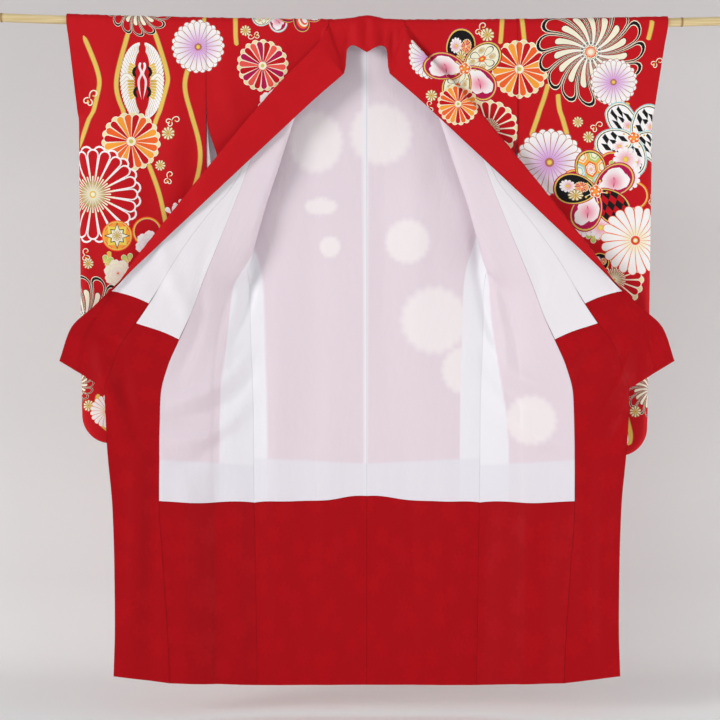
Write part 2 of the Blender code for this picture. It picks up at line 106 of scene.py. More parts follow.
ROLL = np.array((  # x, drop, under_y, over_y, seam_x, seam_drop, seam_y
    (9.9, 1.2, -1.60, -2.05, 9.4, 1.2, -2.20),
    (10.2, 3.4, -1.60, -2.20, 10.3, 3.3, -2.40),
    (10.6, 6.0, -1.60, -2.40, 11.5, 5.7, -2.55),
    (13.6, 14.6, -1.80, -2.70, 16.0, 13.2, -2.80),
    (16.9, 23.5, -1.90, -3.10, 20.4, 21.2, -3.30),
    (20.4, 34.3, -1.70, -3.50, 26.1, 31.1, -3.95),
    (23.5, 43.5, -1.20, -3.50, 29.4, 39.9, -4.20),
    (25.9, 51.7, -0.30, -2.80, 32.8, 48.5, -4.20),
    (28.2, 58.6, 1.60, -1.60, 35.9, 56.2, -4.60),
    (33.0, 64.0, 0.00, -1.30, 38.7, 63.1, -4.80),
    (34.5, 70.5, -0.80, -1.20, 41.0, 69.4, -5.00),
    (35.5, 76.6, -1.30, -1.60, 43.6, 75.3, -5.20),
    (36.0, 83.1, -1.60, -1.80, 46.3, 81.6, -5.20),
    (36.3, 89.8, -1.70, -1.90, 47.9, 88.4, -5.00),
    (36.4, 99.6, -1.70, -1.90, 48.2, 98.6, -4.80),
    (36.4, 113.2, -1.10, -1.30, 48.3, 112.6, -4.60),
    (36.2, 127.0, -0.95, -1.15, 47.5, 126.4, -4.40),
    (36.0, 141.8, -0.90, -1.10, 46.5, 141.0, -4.20),
    (35.8, 155.9, -0.90, -1.10, 45.8, 155.1, -4.20),
))
COLLAR = np.array((  # along, seam_x, seam_drop, seam_y, hidden_y, flap_y, edge_y
    (-1.0, 9.4, 1.2, -2.20, -2.40, -2.75, -3.00),
    (-0.5, 10.3, 3.3, -2.40, -2.65, -3.20, -3.40),
    (0.0, 11.5, 5.7, -2.55, -2.90, -3.80, -3.90),
    (8.0, 16.0, 13.2, -2.80, -3.10, -4.00, -4.10),
    (16.7, 20.5, 21.2, -3.30, -3.50, -4.40, -4.50),
    (27.9, 26.7, 30.8, -4.00, -4.20, -5.10, -5.20),
    (36.5, 30.8, 38.9, -4.50, -4.70, -5.70, -5.80),
    (46.1, 37.1, 46.5, -5.00, -5.30, -6.20, -6.30),
    (56.4, 43.0, 54.5, -5.40, -5.80, -6.60, -6.80),
    (64.9, 47.5, 61.8, -5.70, -6.00, -7.00, -7.40),
    (74.0, 50.5, 67.0, -5.90, -6.40, -7.10, -7.70),
    (80.0, 53.4, 71.2, -6.10, -6.80, -7.00, -7.30),
    (86.7, 57.1, 76.6, -6.40, -6.80, -7.10, -7.40),
    (94.8, 60.6, 86.5, -6.40, -6.70, -6.90, -7.10),
))
FREE_EDGE = np.array(((-1.0, 5.3, 12.2), (0.0, 5.4, 12.7), (86.7, 68.2, 72.4), (94.8, 71.0, 80.1)))
GORE_EDGE = np.array((  # x, drop, y
    (60.2, 99.0, -6.20),
    (58.9, 114.5, -6.00),
    (58.5, 128.0, -5.80),
    (58.4, 141.5, -5.60),
    (58.7, 153.2, -5.60),
))
NECK = np.array((  # seam_x, seam_angle, front_x, edge_x, edge_drop, edge_y
    (0.0, 180, 0.0, 0.0, 7.0, -2.7),
    (4.35, 180, 3.6, 3.5, 5.2, -1.9),
    (8.7, 180, 6.0, 4.7, 6.3, -2.0),
    (8.7, 135, 6.8, 4.8, 8.0, -2.1),
    (8.7, 90, 7.5, 4.9, 9.6, -2.3),
    (8.8, 45, 8.2, 5.0, 10.8, -2.6),
    (8.9, 0, 8.9, 5.2, 11.8, -2.9),
))
SLEEVE = np.array(((5.6, 1.40), (14.6, 1.40), (23.5, 1.35), (45.0, 1.20), (66.0, 1.05), (84.0, 0.90)))

# %% [markdown]
# A curve through a table's rows must never swing past them, or one layer of cloth would cut
# through the next. A cubic whose slopes are the harmonic mean of the steps on both sides keeps
# that promise: it is flat wherever the rows turn back.

# %% Smooth curves through rows
def smooth(stops, values, wanted):
    """Values at the wanted places of a curve through the given ones, with no overshoot."""
    stops = np.asarray(stops, float)
    values = np.asarray(values, float)
    form = values.shape[1:]
    flat = values.reshape(len(stops), -1)
    rise = np.diff(flat, axis=0) / np.diff(stops)[:, None]
    same = rise[1:] * rise[:-1] > 0
    total = np.where(same, rise[1:] + rise[:-1], 1.0)
    slope = np.vstack([rise[:1], np.where(same, 2 * rise[1:] * rise[:-1] / total, 0.0), rise[-1:]])
    cell = np.clip(np.searchsorted(stops, wanted, "right") - 1, 0, len(stops) - 2)
    width = np.diff(stops)[cell][:, None]
    u = ((np.asarray(wanted) - stops[cell])[:, None]) / width
    near = (1 + 2 * u) * (1 - u) ** 2 * flat[cell] + u * (1 - u) ** 2 * width * slope[cell]
    far = u * u * (3 - 2 * u) * flat[cell + 1] - u * u * (1 - u) * width * slope[cell + 1]
    return (near + far).reshape(len(wanted), *form)


def even_curve(points, count):
    """A smooth curve through points, as an even number of steps along its length."""
    gaps = np.maximum(np.linalg.norm(np.diff(points, axis=0), axis=1), 1e-5)
    stops = np.concatenate([[0], np.cumsum(gaps)])
    fine = smooth(stops, points, np.linspace(0, stops[-1], 160))
    gaps = np.linalg.norm(np.diff(fine, axis=0), axis=1)
    run = np.concatenate([[0], np.cumsum(gaps)])
    wanted = np.linspace(0, run[-1], count)
    return np.stack([np.interp(wanted, run, fine[:, k]) for k in range(3)], axis=1)


def unit(vectors):
    """The vectors, each cut to a length of 1."""
    return vectors / np.maximum(np.linalg.norm(vectors, axis=1, keepdims=True), 1e-9)


def at(x, drop, y):
    """A point from centimetres."""
    return np.array((x * CM, y * CM, -drop * CM))


def over_pole(x, angle):
    """A point of the sheet over the pole; x in centimetres, angle 0 faces the viewer."""
    turn = math.radians(angle)
    return np.array((x * CM, -OVER_POLE * math.cos(turn), OVER_POLE * math.sin(turn)))


def round_fold(before, crest, after, under_y, over_y):
    """Three points that turn the sheet round a fold between the depths of its two layers."""
    radius = abs(over_y - under_y) / 2

    def beside(other, y):
        """A point next to the crest on the way to another one, at a layer's depth."""
        way = (other - crest) * (1, 0, 1)
        size = max(np.linalg.norm(way), 1e-6)
        point = crest + way / size * min(radius, 0.4 * size)
        return np.array((point[0], y, point[2]))

    middle = np.array((crest[0], (under_y + over_y) / 2, crest[2]))
    return [beside(before, under_y), middle, beside(after, over_y)]

# %% [markdown]
# ## The panels' sheets
# Each function below gives one section of a panel. The tables' rows are first spread into many
# fine rows, so the section is worked out afresh every few millimetres of its length, and a fold
# that wanders across the cloth stays crisp all the way.

# %% Sections of each panel
FINE = 8  # fine rows to each of a table's rows


def fine_rows(rows, first=0):
    """A table's rows from the first wanted one on, with the fine ones between them."""
    count = len(rows)
    return smooth(range(count), rows, np.linspace(first, count - 1, (count - 1 - first) * FINE + 1))


def side_rows(half):
    """The side line's rows, held within the half's own shoulder width."""
    rows = SIDE.copy()
    rows[:, (2, 5)] = np.minimum(rows[:, (2, 5)], half["shoulder"])
    return fine_rows(rows)


def front_sections(half):
    """The front panel, from the side line round the roll to its seam."""
    sections = []
    for angle in range(90, -1, -15):
        shoulder = over_pole(half["shoulder"], angle)
        neck = over_pole(NECK_POINT + (90 - angle) / 90 * 0.2, angle)
        sections.append([shoulder + (neck - shoulder) * s for s in (0, 0.035, 0.45, 0.895, 0.93, 0.96, 1)])
    for side, roll in zip(side_rows(half), fine_rows(ROLL)):
        start = at(side[2], side[3], side[4])
        seam = at(roll[4], roll[5], roll[6])
        fold = round_fold(start, at(roll[0], roll[1], 0), seam, roll[2] * CM, roll[3] * CM)
        beside = start + (fold[0] - start) * min(CM / np.linalg.norm(fold[0] - start), 0.3)
        beside[1] -= side[7] * CM
        sections.append([start, beside, (beside + fold[0]) / 2, *fold, seam])
    return sections


def back_sections(half):
    """The back panel below the neck, from the centre seam to the side line."""
    centre = over_pole(0, 180)
    edge = over_pole(half["shoulder"], 180)
    sections = [[centre, centre + (edge - centre) * 0.5, edge]]
    for side in side_rows(half):
        centre = at(0, side[0], side[1])
        edge = at(side[5], side[3], side[6])
        across = edge - centre
        beside = edge - across * min(CM / np.linalg.norm(across), 0.3)
        beside[1] += side[7] * CM
        sections.append([centre, centre + across * 0.35, centre + across * 0.7, beside, edge])
    return sections


def yoke_sections(half):
    """The back's shoulder strip over the pole, from the neck point to the side line."""
    sections = []
    for angle in range(90, 181, 15):
        neck = over_pole(NECK_POINT, angle)
        shoulder = over_pole(half["shoulder"], angle)
        sections.append([neck, (neck + shoulder) / 2, shoulder])
    return sections


def gore_sections():
    """The overlap panel, from its seam with the front to the collar or its own free edge."""
    outer = np.vstack([COLLAR[:, (1, 2, 3)], GORE_EDGE])
    sections = []
    for roll, edge in zip(fine_rows(ROLL, GORE_START), fine_rows(outer, GORE_START)):
        inner = at(roll[4], roll[5], roll[6])
        sections.append([inner, (inner + at(*edge)) / 2, at(*edge)])
    return sections


def collar_rows():
    """The collar's table with its crest, x and drop, and its free edge worked out."""
    rows = []
    for index, row in enumerate(COLLAR):
        edge = np.array([np.interp(row[0], FREE_EDGE[:, 0], FREE_EDGE[:, k]) for k in (1, 2)])
        if index in FLAT_CRESTS:
            crest = row[1:3] + (edge - row[1:3]) * FLAT_CRESTS[index]
        else:
            width = FLAP_AT_NECK * (1 - (row[0] / FLAP_LENGTH) ** FLAP_POWER)
            crest = edge + np.array((EDGE_RISE[0], -EDGE_RISE[1])) * width
        rows.append([*row[1:], *crest, *edge])
    return np.array(rows)


def neck_section(row):
    """The collar over the pole: from its seam behind, over the top, to the hanging free edge."""
    seam_x, seam_angle, front_x, edge_x, edge_drop, edge_y = row
    points = []
    for share in np.linspace(1, 0, 7):
        points.append(over_pole(front_x + (seam_x - front_x) * share, seam_angle * share))
    edge = at(edge_x, edge_drop, edge_y)
    if seam_angle < 5:
        points = points[-1:]
    return [*points, (points[-1] + edge) / 2, edge]


def collar_sections():
    """The collar opened to its full width, from behind the neck down to its end."""
    sections = [neck_section(row) for row in fine_rows(NECK)]
    for row in fine_rows(collar_rows()):
        *place, hidden_y, flap_y, edge_y, crest_x, crest_drop, edge_x, edge_drop = row
        seam = at(*place)
        edge = at(edge_x, edge_drop, edge_y)
        fold = round_fold(seam, at(crest_x, crest_drop, 0), edge, hidden_y * CM, flap_y * CM)
        sections.append([seam, (seam + fold[0]) / 2, *fold, (fold[2] + edge) / 2, edge])
    return sections


def sleeve_sections(half, facing):
    """One wall of the sleeve, from the armhole to the cuff. Facing is -1 for the front."""
    length = half["length"]
    top = [over_pole(0, 90 + facing * angle) / CM for angle in range(0, 91, 15)]
    steps = [(point[1], -point[2], 0) for point in top]
    outer = [half["cuff_top"]] * len(steps)
    for drop, depth in smooth(range(len(SLEEVE)), SLEEVE, np.linspace(0, 5, 31)):
        steps.append((facing * depth, drop, 1 if drop >= CUFF_DROP - 1 else 0))
        if drop < CUFF_DROP:
            outer.append(half["cuff_top"] + (half["cuff_foot"] - half["cuff_top"]) * drop / CUFF_DROP)
        else:
            share = (drop - CUFF_DROP) / (length - CUFF_DROP)
            outer.append(half["cuff_foot"] + (half["sleeve_foot"] - half["cuff_foot"]) * share)
    for turn in np.linspace(0, math.pi / 2, 11):
        depth = facing * SLEEVE[-1, 1] * math.cos(turn) ** 0.5
        steps.append((depth, length - SLEEVE_CORNER * (1 - math.sin(turn)), 1))
        outer.append(half["sleeve_foot"] - SLEEVE_CORNER * (1 - math.cos(turn)))
    sections = []
    for (depth, drop, closed), far in zip(steps, outer):
        inner = half["shoulder"]
        row = [at(inner, drop, depth), at((inner + far) / 2, drop, depth), at(far - 2, drop, depth)]
        row += [at(far - 0.8, drop, depth * (0.93 if closed else 1)), at(far, drop, 0 if closed else depth)]
        sections.append(row)
    return sections

# %% [markdown]
# ## Creases
# Silk that hangs by a pole falls in long soft troughs and ridges. The drawn-out fronts add slanting
# ones that run from the two drawn points, and a slack swag where the cloth is let down again. Each
# is listed: a line in front view, how far its middle bows aside, its width, and its height
# towards the viewer, negative for a trough. They are uneven, as in the hanging cloth.

# %% The creases
INSIDE_CREASES = (  # x0, drop0, x1, drop1, bow (cm), width (cm), height (mm); x is negative on the right
    (-26.4, 56.0, -32.6, 78.0, -0.8, 1.5, -11.0),
    (-29.0, 58.0, -36.5, 86.0, -1.5, 2.2, 8.5),
    (-26.5, 76.0, -45.0, 90.0, -3.0, 1.7, 8.0),
    (-26.5, 83.0, -47.0, 94.0, -3.2, 1.7, -8.5),
    (-27.0, 89.0, -47.0, 99.0, -3.2, 1.9, 8.0),
    (-33.0, 97.0, -46.5, 105.0, -2.0, 2.0, -5.5),
    (-38.0, 62.0, -44.0, 84.0, -1.2, 1.8, -5.5),
    (-36.0, 50.0, -40.0, 76.0, 0.8, 1.6, -4.2),
    (-48.0, 50.0, -40.0, 72.0, 1.0, 2.0, 5.1),
    (-43.0, 56.0, -50.0, 66.0, 0.5, 1.6, -4.2),
    (-62.0, 76.0, -52.0, 96.0, 2.5, 2.0, 7.6),
    (-57.0, 80.0, -49.0, 104.0, 2.0, 1.8, -8.5),
    (-64.0, 72.0, -56.0, 76.0, 0.6, 1.5, -5.1),
    (-53.0, 96.0, -55.0, 150.0, -0.8, 2.6, 6.8),
    (-49.5, 100.0, -50.0, 156.0, 0.6, 2.0, -5.1),
    (-42.0, 104.0, -41.0, 156.0, 0.8, 2.8, 6.0),
    (-36.0, 112.0, -35.0, 156.0, -0.6, 2.4, -5.1),
    (-30.0, 106.0, -29.0, 156.0, 0.5, 2.0, 4.2),
    (-21.0, 66.0, -20.0, 156.0, 0.8, 3.4, 6.0),
    (-14.0, 30.0, -13.0, 100.0, -0.8, 3.4, -4.2),
    (-8.0, 84.0, -9.0, 156.0, 0.5, 3.0, 5.1),
    (4.0, 30.0, 5.0, 92.0, 0.6, 2.8, -4.2),
    (12.0, 20.0, 14.0, 110.0, 0.9, 3.4, 5.1),
    (9.0, 100.0, 10.0, 156.0, -0.5, 2.6, -5.1),
    (19.0, 90.0, 19.0, 156.0, 0.7, 2.8, 5.1),
    (25.6, 50.0, 31.4, 79.0, 0.8, 1.5, -11.0),
    (28.6, 52.0, 34.0, 84.0, 1.2, 2.2, 8.5),
    (28.0, 74.0, 44.0, 87.0, 3.0, 2.0, 6.5),
    (28.0, 80.0, 46.0, 93.0, 3.2, 2.0, -3.5),
    (30.0, 88.0, 47.0, 100.0, 2.8, 2.2, 6.0),
    (36.0, 48.0, 41.0, 74.0, -0.8, 1.8, -4.2),
    (46.0, 50.0, 40.0, 70.0, -0.8, 2.0, 4.2),
    (60.0, 76.0, 53.0, 92.0, -1.6, 1.8, -8.5),
    (64.0, 78.0, 56.0, 100.0, -2.0, 2.0, 7.6),
    (48.0, 88.0, 55.0, 76.0, -1.0, 2.2, 6.0),
    (51.0, 98.0, 52.0, 152.0, 0.8, 2.6, 6.0),
    (56.0, 104.0, 55.0, 150.0, 0.6, 2.0, -5.1),
    (43.0, 112.0, 42.0, 156.0, 0.8, 2.8, -5.1),
    (36.0, 114.0, 36.0, 156.0, -0.6, 2.6, 5.1),
    (29.0, 112.0, 28.0, 156.0, 0.5, 2.2, -4.2),
)
OUTSIDE_CREASES = (
    (-66.0, 8.0, -64.0, 62.0, 0.8, 2.6, -3.0),
    (-59.0, 2.0, -58.0, 48.0, 0.6, 2.8, 3.0),
    (-52.0, 14.0, -51.0, 70.0, -0.8, 3.0, -3.0),
    (-45.0, 2.0, -45.0, 40.0, 0.5, 2.6, 2.5),
    (-40.0, 22.0, -42.0, 60.0, 0.6, 2.2, -3.0),
    (-34.0, 4.0, -30.0, 26.0, 0.8, 2.4, 3.0),
    (-27.0, 3.0, -24.0, 20.0, 0.6, 2.2, -3.0),
    (-20.0, 2.0, -19.0, 12.0, 0.3, 1.8, 2.5),
    (-60.0, 64.0, -62.0, 98.0, 0.6, 2.6, 3.0),
    (64.0, 6.0, 63.0, 58.0, -0.7, 2.6, 3.0),
    (57.0, 2.0, 56.0, 44.0, 0.8, 2.8, -3.0),
    (50.0, 10.0, 49.0, 60.0, 0.6, 3.0, 3.0),
    (43.0, 2.0, 43.0, 36.0, -0.5, 2.4, -2.5),
    (39.0, 24.0, 40.0, 56.0, 0.5, 2.0, 2.5),
    (32.0, 3.0, 28.0, 24.0, -0.7, 2.4, -3.0),
    (25.0, 2.0, 23.0, 16.0, 0.5, 2.0, 2.5),
    (60.0, 66.0, 61.0, 100.0, 0.5, 2.6, -3.0),
    (9.6, 0.4, 15.6, 9.6, 0.4, 0.9, -4.5),
    (-30.0, 27.0, -42.0, 39.0, 0.4, 1.2, -2.0),
    (36.0, 33.0, 48.0, 45.0, 0.4, 1.2, -2.0),
    (-0.2, -1.0, -0.4, 7.0, 0.0, 1.0, -4.5),
    (-2.2, -1.0, -2.0, 6.4, 0.0, 1.1, 5.0),
    (1.8, -1.0, 1.6, 6.2, 0.0, 1.1, 5.0),
    (3.8, 0.6, 4.2, 7.4, 0.2, 0.9, -4.0),
    (6.0, 1.0, 6.6, 10.4, 0.2, 0.9, -4.0),
    (-4.4, 1.0, -5.4, 9.6, -0.2, 0.9, -4.0),
)


def ramp(low, high, value):
    """0 below low, 1 above high, and a soft step between."""
    share = np.clip((value - low) / (high - low), 0, 1)
    return share * share * (3 - 2 * share)


def crease_height(x, drop, rows):
    """How far the creases lift the cloth towards the viewer, in metres; x and drop in centimetres."""
    total = np.zeros_like(x)
    for x0, drop0, x1, drop1, bow, width, height in rows:
        run = np.array((x1 - x0, drop1 - drop0))
        size = np.hypot(*run)
        run /= size
        along = ((x - x0) * run[0] + (drop - drop0) * run[1]) / size
        aside = (x - x0) * -run[1] + (drop - drop0) * run[0]
        aside -= bow * np.sin(math.pi * np.clip(along, 0, 1))
        fade = ramp(-0.15, 0.30, along) * ramp(1.15, 0.75, along)
        total += height * 0.001 * np.exp(-((aside / width) ** 2)) * fade
    return total


NECK_RISE = 0.009  # how far the gathered collar stands above the pole at the middle of the neck


def pole_sag(x):
    """How far the pole's axis lies below its straight line: bamboo bends a little under the silk."""
    return 0.010 * (1 - (x / 0.70) ** 2) + 0.003 * (1 + x / 0.70)


# %% [markdown]
# ## One sheet
# A sheet holds its points on a fine grid, with the outward normals, and answers where any place of
# its flat cloth lies in space. Flat places are in metres: s across the width, t down the length.

# %% The sheet
CURVE_STEPS = 80  # even steps across each section
SPACING = 0.005  # between the grid's points, in metres
CLOSE_SPACING = 0.004  # for the folded panels


class Sheet:
    """A panel's middle surface on a fine grid, and its flat cloth."""

    def __init__(self, sections, sign, turn=1, spacing=SPACING):
        curves = [even_curve(np.array(section), CURVE_STEPS + 1) for section in sections]
        points = np.array(curves)
        run = np.linalg.norm(np.diff(points, axis=1), axis=2).sum(axis=1)
        drop = np.linalg.norm(np.diff(points, axis=0), axis=2).mean(axis=1)
        stops = np.concatenate([[0], np.cumsum(np.maximum(drop, 1e-5))])
        self.stops = stops
        self.width = float(np.percentile(run, 70))
        self.length = float(stops[-1])
        rows = max(int(self.length / spacing), 4) + 1
        columns = max(int(self.width / spacing), 4) + 1
        cells = np.linspace(0, CURVE_STEPS, columns)
        left = np.clip(cells.astype(int), 0, CURVE_STEPS - 1)
        part = (cells - left)[None, :, None]
        across = points[:, left] * (1 - part) + points[:, left + 1] * part
        self.points = smooth(stops, across, np.linspace(0, self.length, rows))
        self.points[..., 0] *= sign
        self.sign = sign * turn
        self.normals = self.find_normals()
        self.hang()
        self.normals = self.find_normals()

    def find_normals(self):
        """The direction out of the cloth's printed side at every grid point."""
        across = np.gradient(self.points, axis=1)
        down = np.gradient(self.points, axis=0)
        normals = np.cross(across, down) * self.sign
        size = np.linalg.norm(normals, axis=2, keepdims=True)
        bad = size[..., 0] < 1e-10
        normals = normals / np.maximum(size, 1e-10)
        normals[bad] = (0, -1, 0)
        return normals

    def hang(self):
        """Adds the creases, the small puckers along the pole and the pole's own bend."""
        x = self.points[..., 0] / CM
        drop = -self.points[..., 2] / CM
        face = self.normals[..., 1]
        inside = crease_height(x, drop, INSIDE_CREASES) * ramp(0.2, 0.8, face)
        outside = crease_height(x, drop, OUTSIDE_CREASES) * ramp(-0.2, -0.8, face)
        self.points[..., 1] -= inside + outside
        pucker = np.sin(x * 1.9) * np.sin(x * 0.83 + 1) + 0.5 * np.sin(x * 3.7 + 2)
        near = np.exp(-((drop + 1) / 2.2) ** 2)
        self.points += self.normals * (0.0007 * (1 + pucker) * near)[..., None]
        self.points[..., 2] -= pole_sag(self.points[..., 0]) * ramp(22, 2, drop)
        self.points[..., 2] += NECK_RISE * np.exp(-((x / 3.6) ** 2)) * ramp(9, 0, drop)

    def place(self, grid, s, t):
        """The grid's values at flat places."""
        rows, columns = self.points.shape[:2]
        down = np.clip(t / self.length, 0, 1) * (rows - 1)
        across = np.clip(s / self.width, 0, 1) * (columns - 1)
        row = np.minimum(down.astype(int), rows - 2)
        column = np.minimum(across.astype(int), columns - 2)
        v = (down - row)[:, None]
        u = (across - column)[:, None]
        top = grid[row, column] * (1 - u) + grid[row, column + 1] * u
        foot = grid[row + 1, column] * (1 - u) + grid[row + 1, column + 1] * u
        return top * (1 - v) + foot * v

    def flat_at(self, x, drop, towards_viewer):
        """The flat place seen at x and drop (cm), how steps across and down in front view run on
        the flat cloth there, and how far off the nearest cloth is."""
        facing = (self.normals[..., 1] < 0) == towards_viewer
        gap = np.hypot(self.points[..., 0] - x * CM, self.points[..., 2] + drop * CM)
        gap = np.where(facing, gap, FAR)
        row, column = np.unravel_index(np.argmin(gap), gap.shape)
        rows, columns = gap.shape
        here = self.points[row, column][[0, 2]]
        r0, c0 = min(row, rows - 2), min(column, columns - 2)
        cell = np.array((self.width / (columns - 1), self.length / (rows - 1)))
        sides = np.stack([self.points[r0, c0 + 1] - self.points[r0, c0],
                          self.points[r0 + 1, c0] - self.points[r0, c0]])
        scale = np.clip(np.linalg.norm(sides, axis=1) / cell, 0.6, 1.4)
        ways = unit(sides[:, [0, 2]])
        if abs(np.linalg.det(ways)) < 0.5:
            ways[1] = (0, -1)
            ways[0] = (np.sign(ways[0, 0]) or 1, 0)
        steps = np.linalg.inv((ways * scale[:, None]).T)
        off = np.array((x * CM, -drop * CM)) - here
        start = np.array((column / (columns - 1) * self.width, row / (rows - 1) * self.length))
        return start + steps @ off, steps, float(gap[row, column])


# %% Every sheet of the garment
SHEETS = {}
for side, half in HALVES.items():
    sign = half["sign"]
    SHEETS[f"back_{side}"] = [Sheet(yoke_sections(half), sign), Sheet(back_sections(half), sign)]
    SHEETS[f"front_{side}"] = [Sheet(front_sections(half), sign, spacing=CLOSE_SPACING)]
    SHEETS[f"okumi_{side}"] = [Sheet(gore_sections(), sign)]
    SHEETS[f"collar_{side}"] = [Sheet(collar_sections(), sign, spacing=CLOSE_SPACING)]
    SHEETS[f"sleeve_front_{side}"] = [Sheet(sleeve_sections(half, -1), sign, -1)]
    SHEETS[f"sleeve_back_{side}"] = [Sheet(sleeve_sections(half, 1), sign)]
for name, sheets in SHEETS.items():
    print(name, [(round(s.width, 3), round(s.length, 3), s.points.shape[:2]) for s in sheets])

# %% [markdown]
# ## The print
# The red crepe carries a hand-dyed print of the traditional kinds: chrysanthemum rosettes, plum
# blossoms with patterned petals, peonies, a joined-circle roundel, gold bands that bulge and
# narrow in pairs, facing cranes, and small gold sprigs. A motif is drawn as closed outlines in a
# unit circle, laid over each other like dye and outline paste. It could be drawn in the shader, but
# outlines cut into the cloth's own mesh stay crisp at any distance, and they cost no shading time.

# %% Colours
def linear(code):
    """An sRGB hex colour as linear red, green and blue."""
    value = np.array([int(code[k:k + 2], 16) / 255 for k in (1, 3, 5)])
    return np.where(value <= 0.04045, value / 12.92, ((value + 0.055) / 1.055) ** 2.4)


DYE = {name: linear(code) for name, code in {
    "red": "#C3151E",
    "copper": "#B5705A",
    "crimson": "#B4184F",
    "coral": "#F05A50",
    "orange": "#F2662C",
    "apricot": "#FAA23C",
    "yellow": "#F2D65C",
    "butter": "#F1E2A8",
    "gold": "#E8C25C",
    "old gold": "#B9985A",
    "cream": "#F6F0D6",
    "white": "#F8F4F2",
    "blush": "#F6D8DC",
    "pink": "#EE8FA6",
    "lilac": "#D79BE0",
    "leaf": "#B4CC72",
    "sky": "#9CCBD2",
    "black": "#1C1A1C",
}.items()}
print("dyes:", ", ".join(DYE))

# %% [markdown]
# A shape is an outline with two dyes: one at its rim and one at its motif's heart, blended over a
# reach, the way the dyer shades a petal while it is wet.

# %% Drawing helpers
def shape(points, rim, heart=None, centre=(0, 0), reach=1.0):
    """One closed outline with its dyes."""
    return dict(points=np.array(points, float), rim=rim, heart=heart or rim,
                centre=np.array(centre, float), reach=reach)


def moved(shapes, centre=(0, 0), size=1.0, turn=0.0, squeeze=1.0):
    """Shapes turned by degrees, squeezed across, scaled and moved."""
    c, s = math.cos(math.radians(turn)), math.sin(math.radians(turn))
    spin = np.array(((c, s), (-s, c))) * size
    fit = np.array((squeeze, 1.0))
    return [dict(part, points=(part["points"] * fit) @ spin + centre,
                 centre=(part["centre"] * fit) @ spin + centre, reach=part["reach"] * size)
            for part in shapes]


def short_edged(outline, longest=0.014):
    """The outline with its long edges cut short, so that it follows the cloth's bends."""
    ends = np.roll(outline, -1, axis=0)
    points = []
    for a, b in zip(outline, ends):
        pieces = max(int(np.ceil(np.hypot(*(b - a)) / longest)), 1)
        points += [a + (b - a) * k / pieces for k in range(pieces)]
    return np.array(points)


def circle(radius, count, centre=(0, 0), wave=0.0, lobes=0):
    """A round outline, scalloped where it has lobes."""
    angles = np.linspace(0, 2 * math.pi, count, endpoint=False)
    radii = radius * (1 - wave + wave * np.abs(np.cos(lobes * angles / 2))) if lobes else radius
    return np.stack([np.cos(angles) * radii, np.sin(angles) * radii], axis=1) + centre


def petal(root, tip, half_angle, steps=5):
    """A petal that points up: narrow at its root, with a round tip."""
    sine = math.sin(half_angle)
    round_tip = tip * sine / (1 + sine)
    turns = np.linspace(-half_angle, math.pi + half_angle, steps + 2)
    arc = np.stack([np.cos(turns), np.sin(turns)], axis=1) * round_tip + (0, tip - round_tip)
    foot = root * math.tan(half_angle)
    return np.vstack([arc, (-foot, root), (foot, root)])


def flowing(points, count):
    """A free-flowing curve through points (Catmull-Rom)."""
    points = np.array(points, float)
    ends = np.vstack([2 * points[0] - points[1], points, 2 * points[-1] - points[-2]])
    place = np.linspace(0, len(points) - 1, count)
    span = np.minimum(place.astype(int), len(points) - 2)
    u = (place - span)[:, None]
    a, b, c, d = (ends[span + k] for k in range(4))
    bend = (2 * a - 5 * b + 4 * c - d) * u ** 2
    twist = (3 * b - a - 3 * c + d) * u ** 3
    return 0.5 * (2 * b + (c - a) * u + bend + twist)


def ribbon(points, width, ends=(0.3, 0.3), count=24, softening=0):
    """The outline of a brush stroke along points, with its width tapered at both ends."""
    line = flowing(points, count)
    for _ in range(softening):
        line[1:-1] = (line[:-2] + 2 * line[1:-1] + line[2:]) / 4
    way = unit(np.gradient(line, axis=0))
    aside = np.stack([-way[:, 1], way[:, 0]], axis=1)
    share = np.linspace(0, 1, count)
    taper = np.ones(count)
    if ends[0]:
        taper *= ramp(-0.02, ends[0], share)
    if ends[1]:
        taper *= ramp(1.02, 1 - ends[1], share)
    half = aside * (taper * width / 2)[:, None]
    return np.vstack([line + half, (line - half)[::-1]])

# %% [markdown]
# The chrysanthemum is the print's main figure. One function draws all its kinds: the styles differ
# in the number of petals, in whether petals are filled or only outlined, and in their dyes.

# %% Flowers
AUTUMN = ("orange", "apricot", "red", "orange", "red", "apricot", "orange")
DUSK = ("crimson", "coral", "red")
KIKU = {  # petals, outline width and dye, petal dyes, heart and its reach, back ring, centre, burst, swirl
    "line kiku": (20, 0.036, "white", ("red",), "red", 0.8, "red", "cream", "old gold", 0.0),
    "fan kiku": (18, 0.032, "cream", ("red",), "red", 0.8, "butter", "gold", "old gold", 0.0),
    "orange kiku": (19, 0.026, "cream", AUTUMN, "orange", 0.8, "butter", "leaf", None, 0.0),
    "crimson kiku": (18, 0.026, "cream", DUSK, "red", 0.8, "butter", "leaf", None, 0.0),
    "lilac kiku": (22, 0.018, "copper", ("white",), "lilac", 0.92, "white", "yellow", None, 0.0),
    "cream kiku": (20, 0.030, "coral", ("white",), "butter", 0.6, None, "cream", None, 0.12),
    "gold flower": (10, 0.080, "old gold", ("cream",), "gold", 0.8, None, "old gold", None, 0.0),
    "pink blossom": (12, 0.010, "blush", ("white",), "pink", 0.9, None, "yellow", None, 0.0),
}


def swirled(shapes, amount):
    """Shapes with their outer parts turned further than their hearts, like a swirl."""
    result = []
    for part in shapes:
        x, y = short_edged(part["points"], 0.1).T
        turn = amount * np.hypot(x, y)
        c, s = np.cos(turn), np.sin(turn)
        result.append(dict(part, points=np.stack([x * c - y * s, x * s + y * c], axis=1)))
    return result


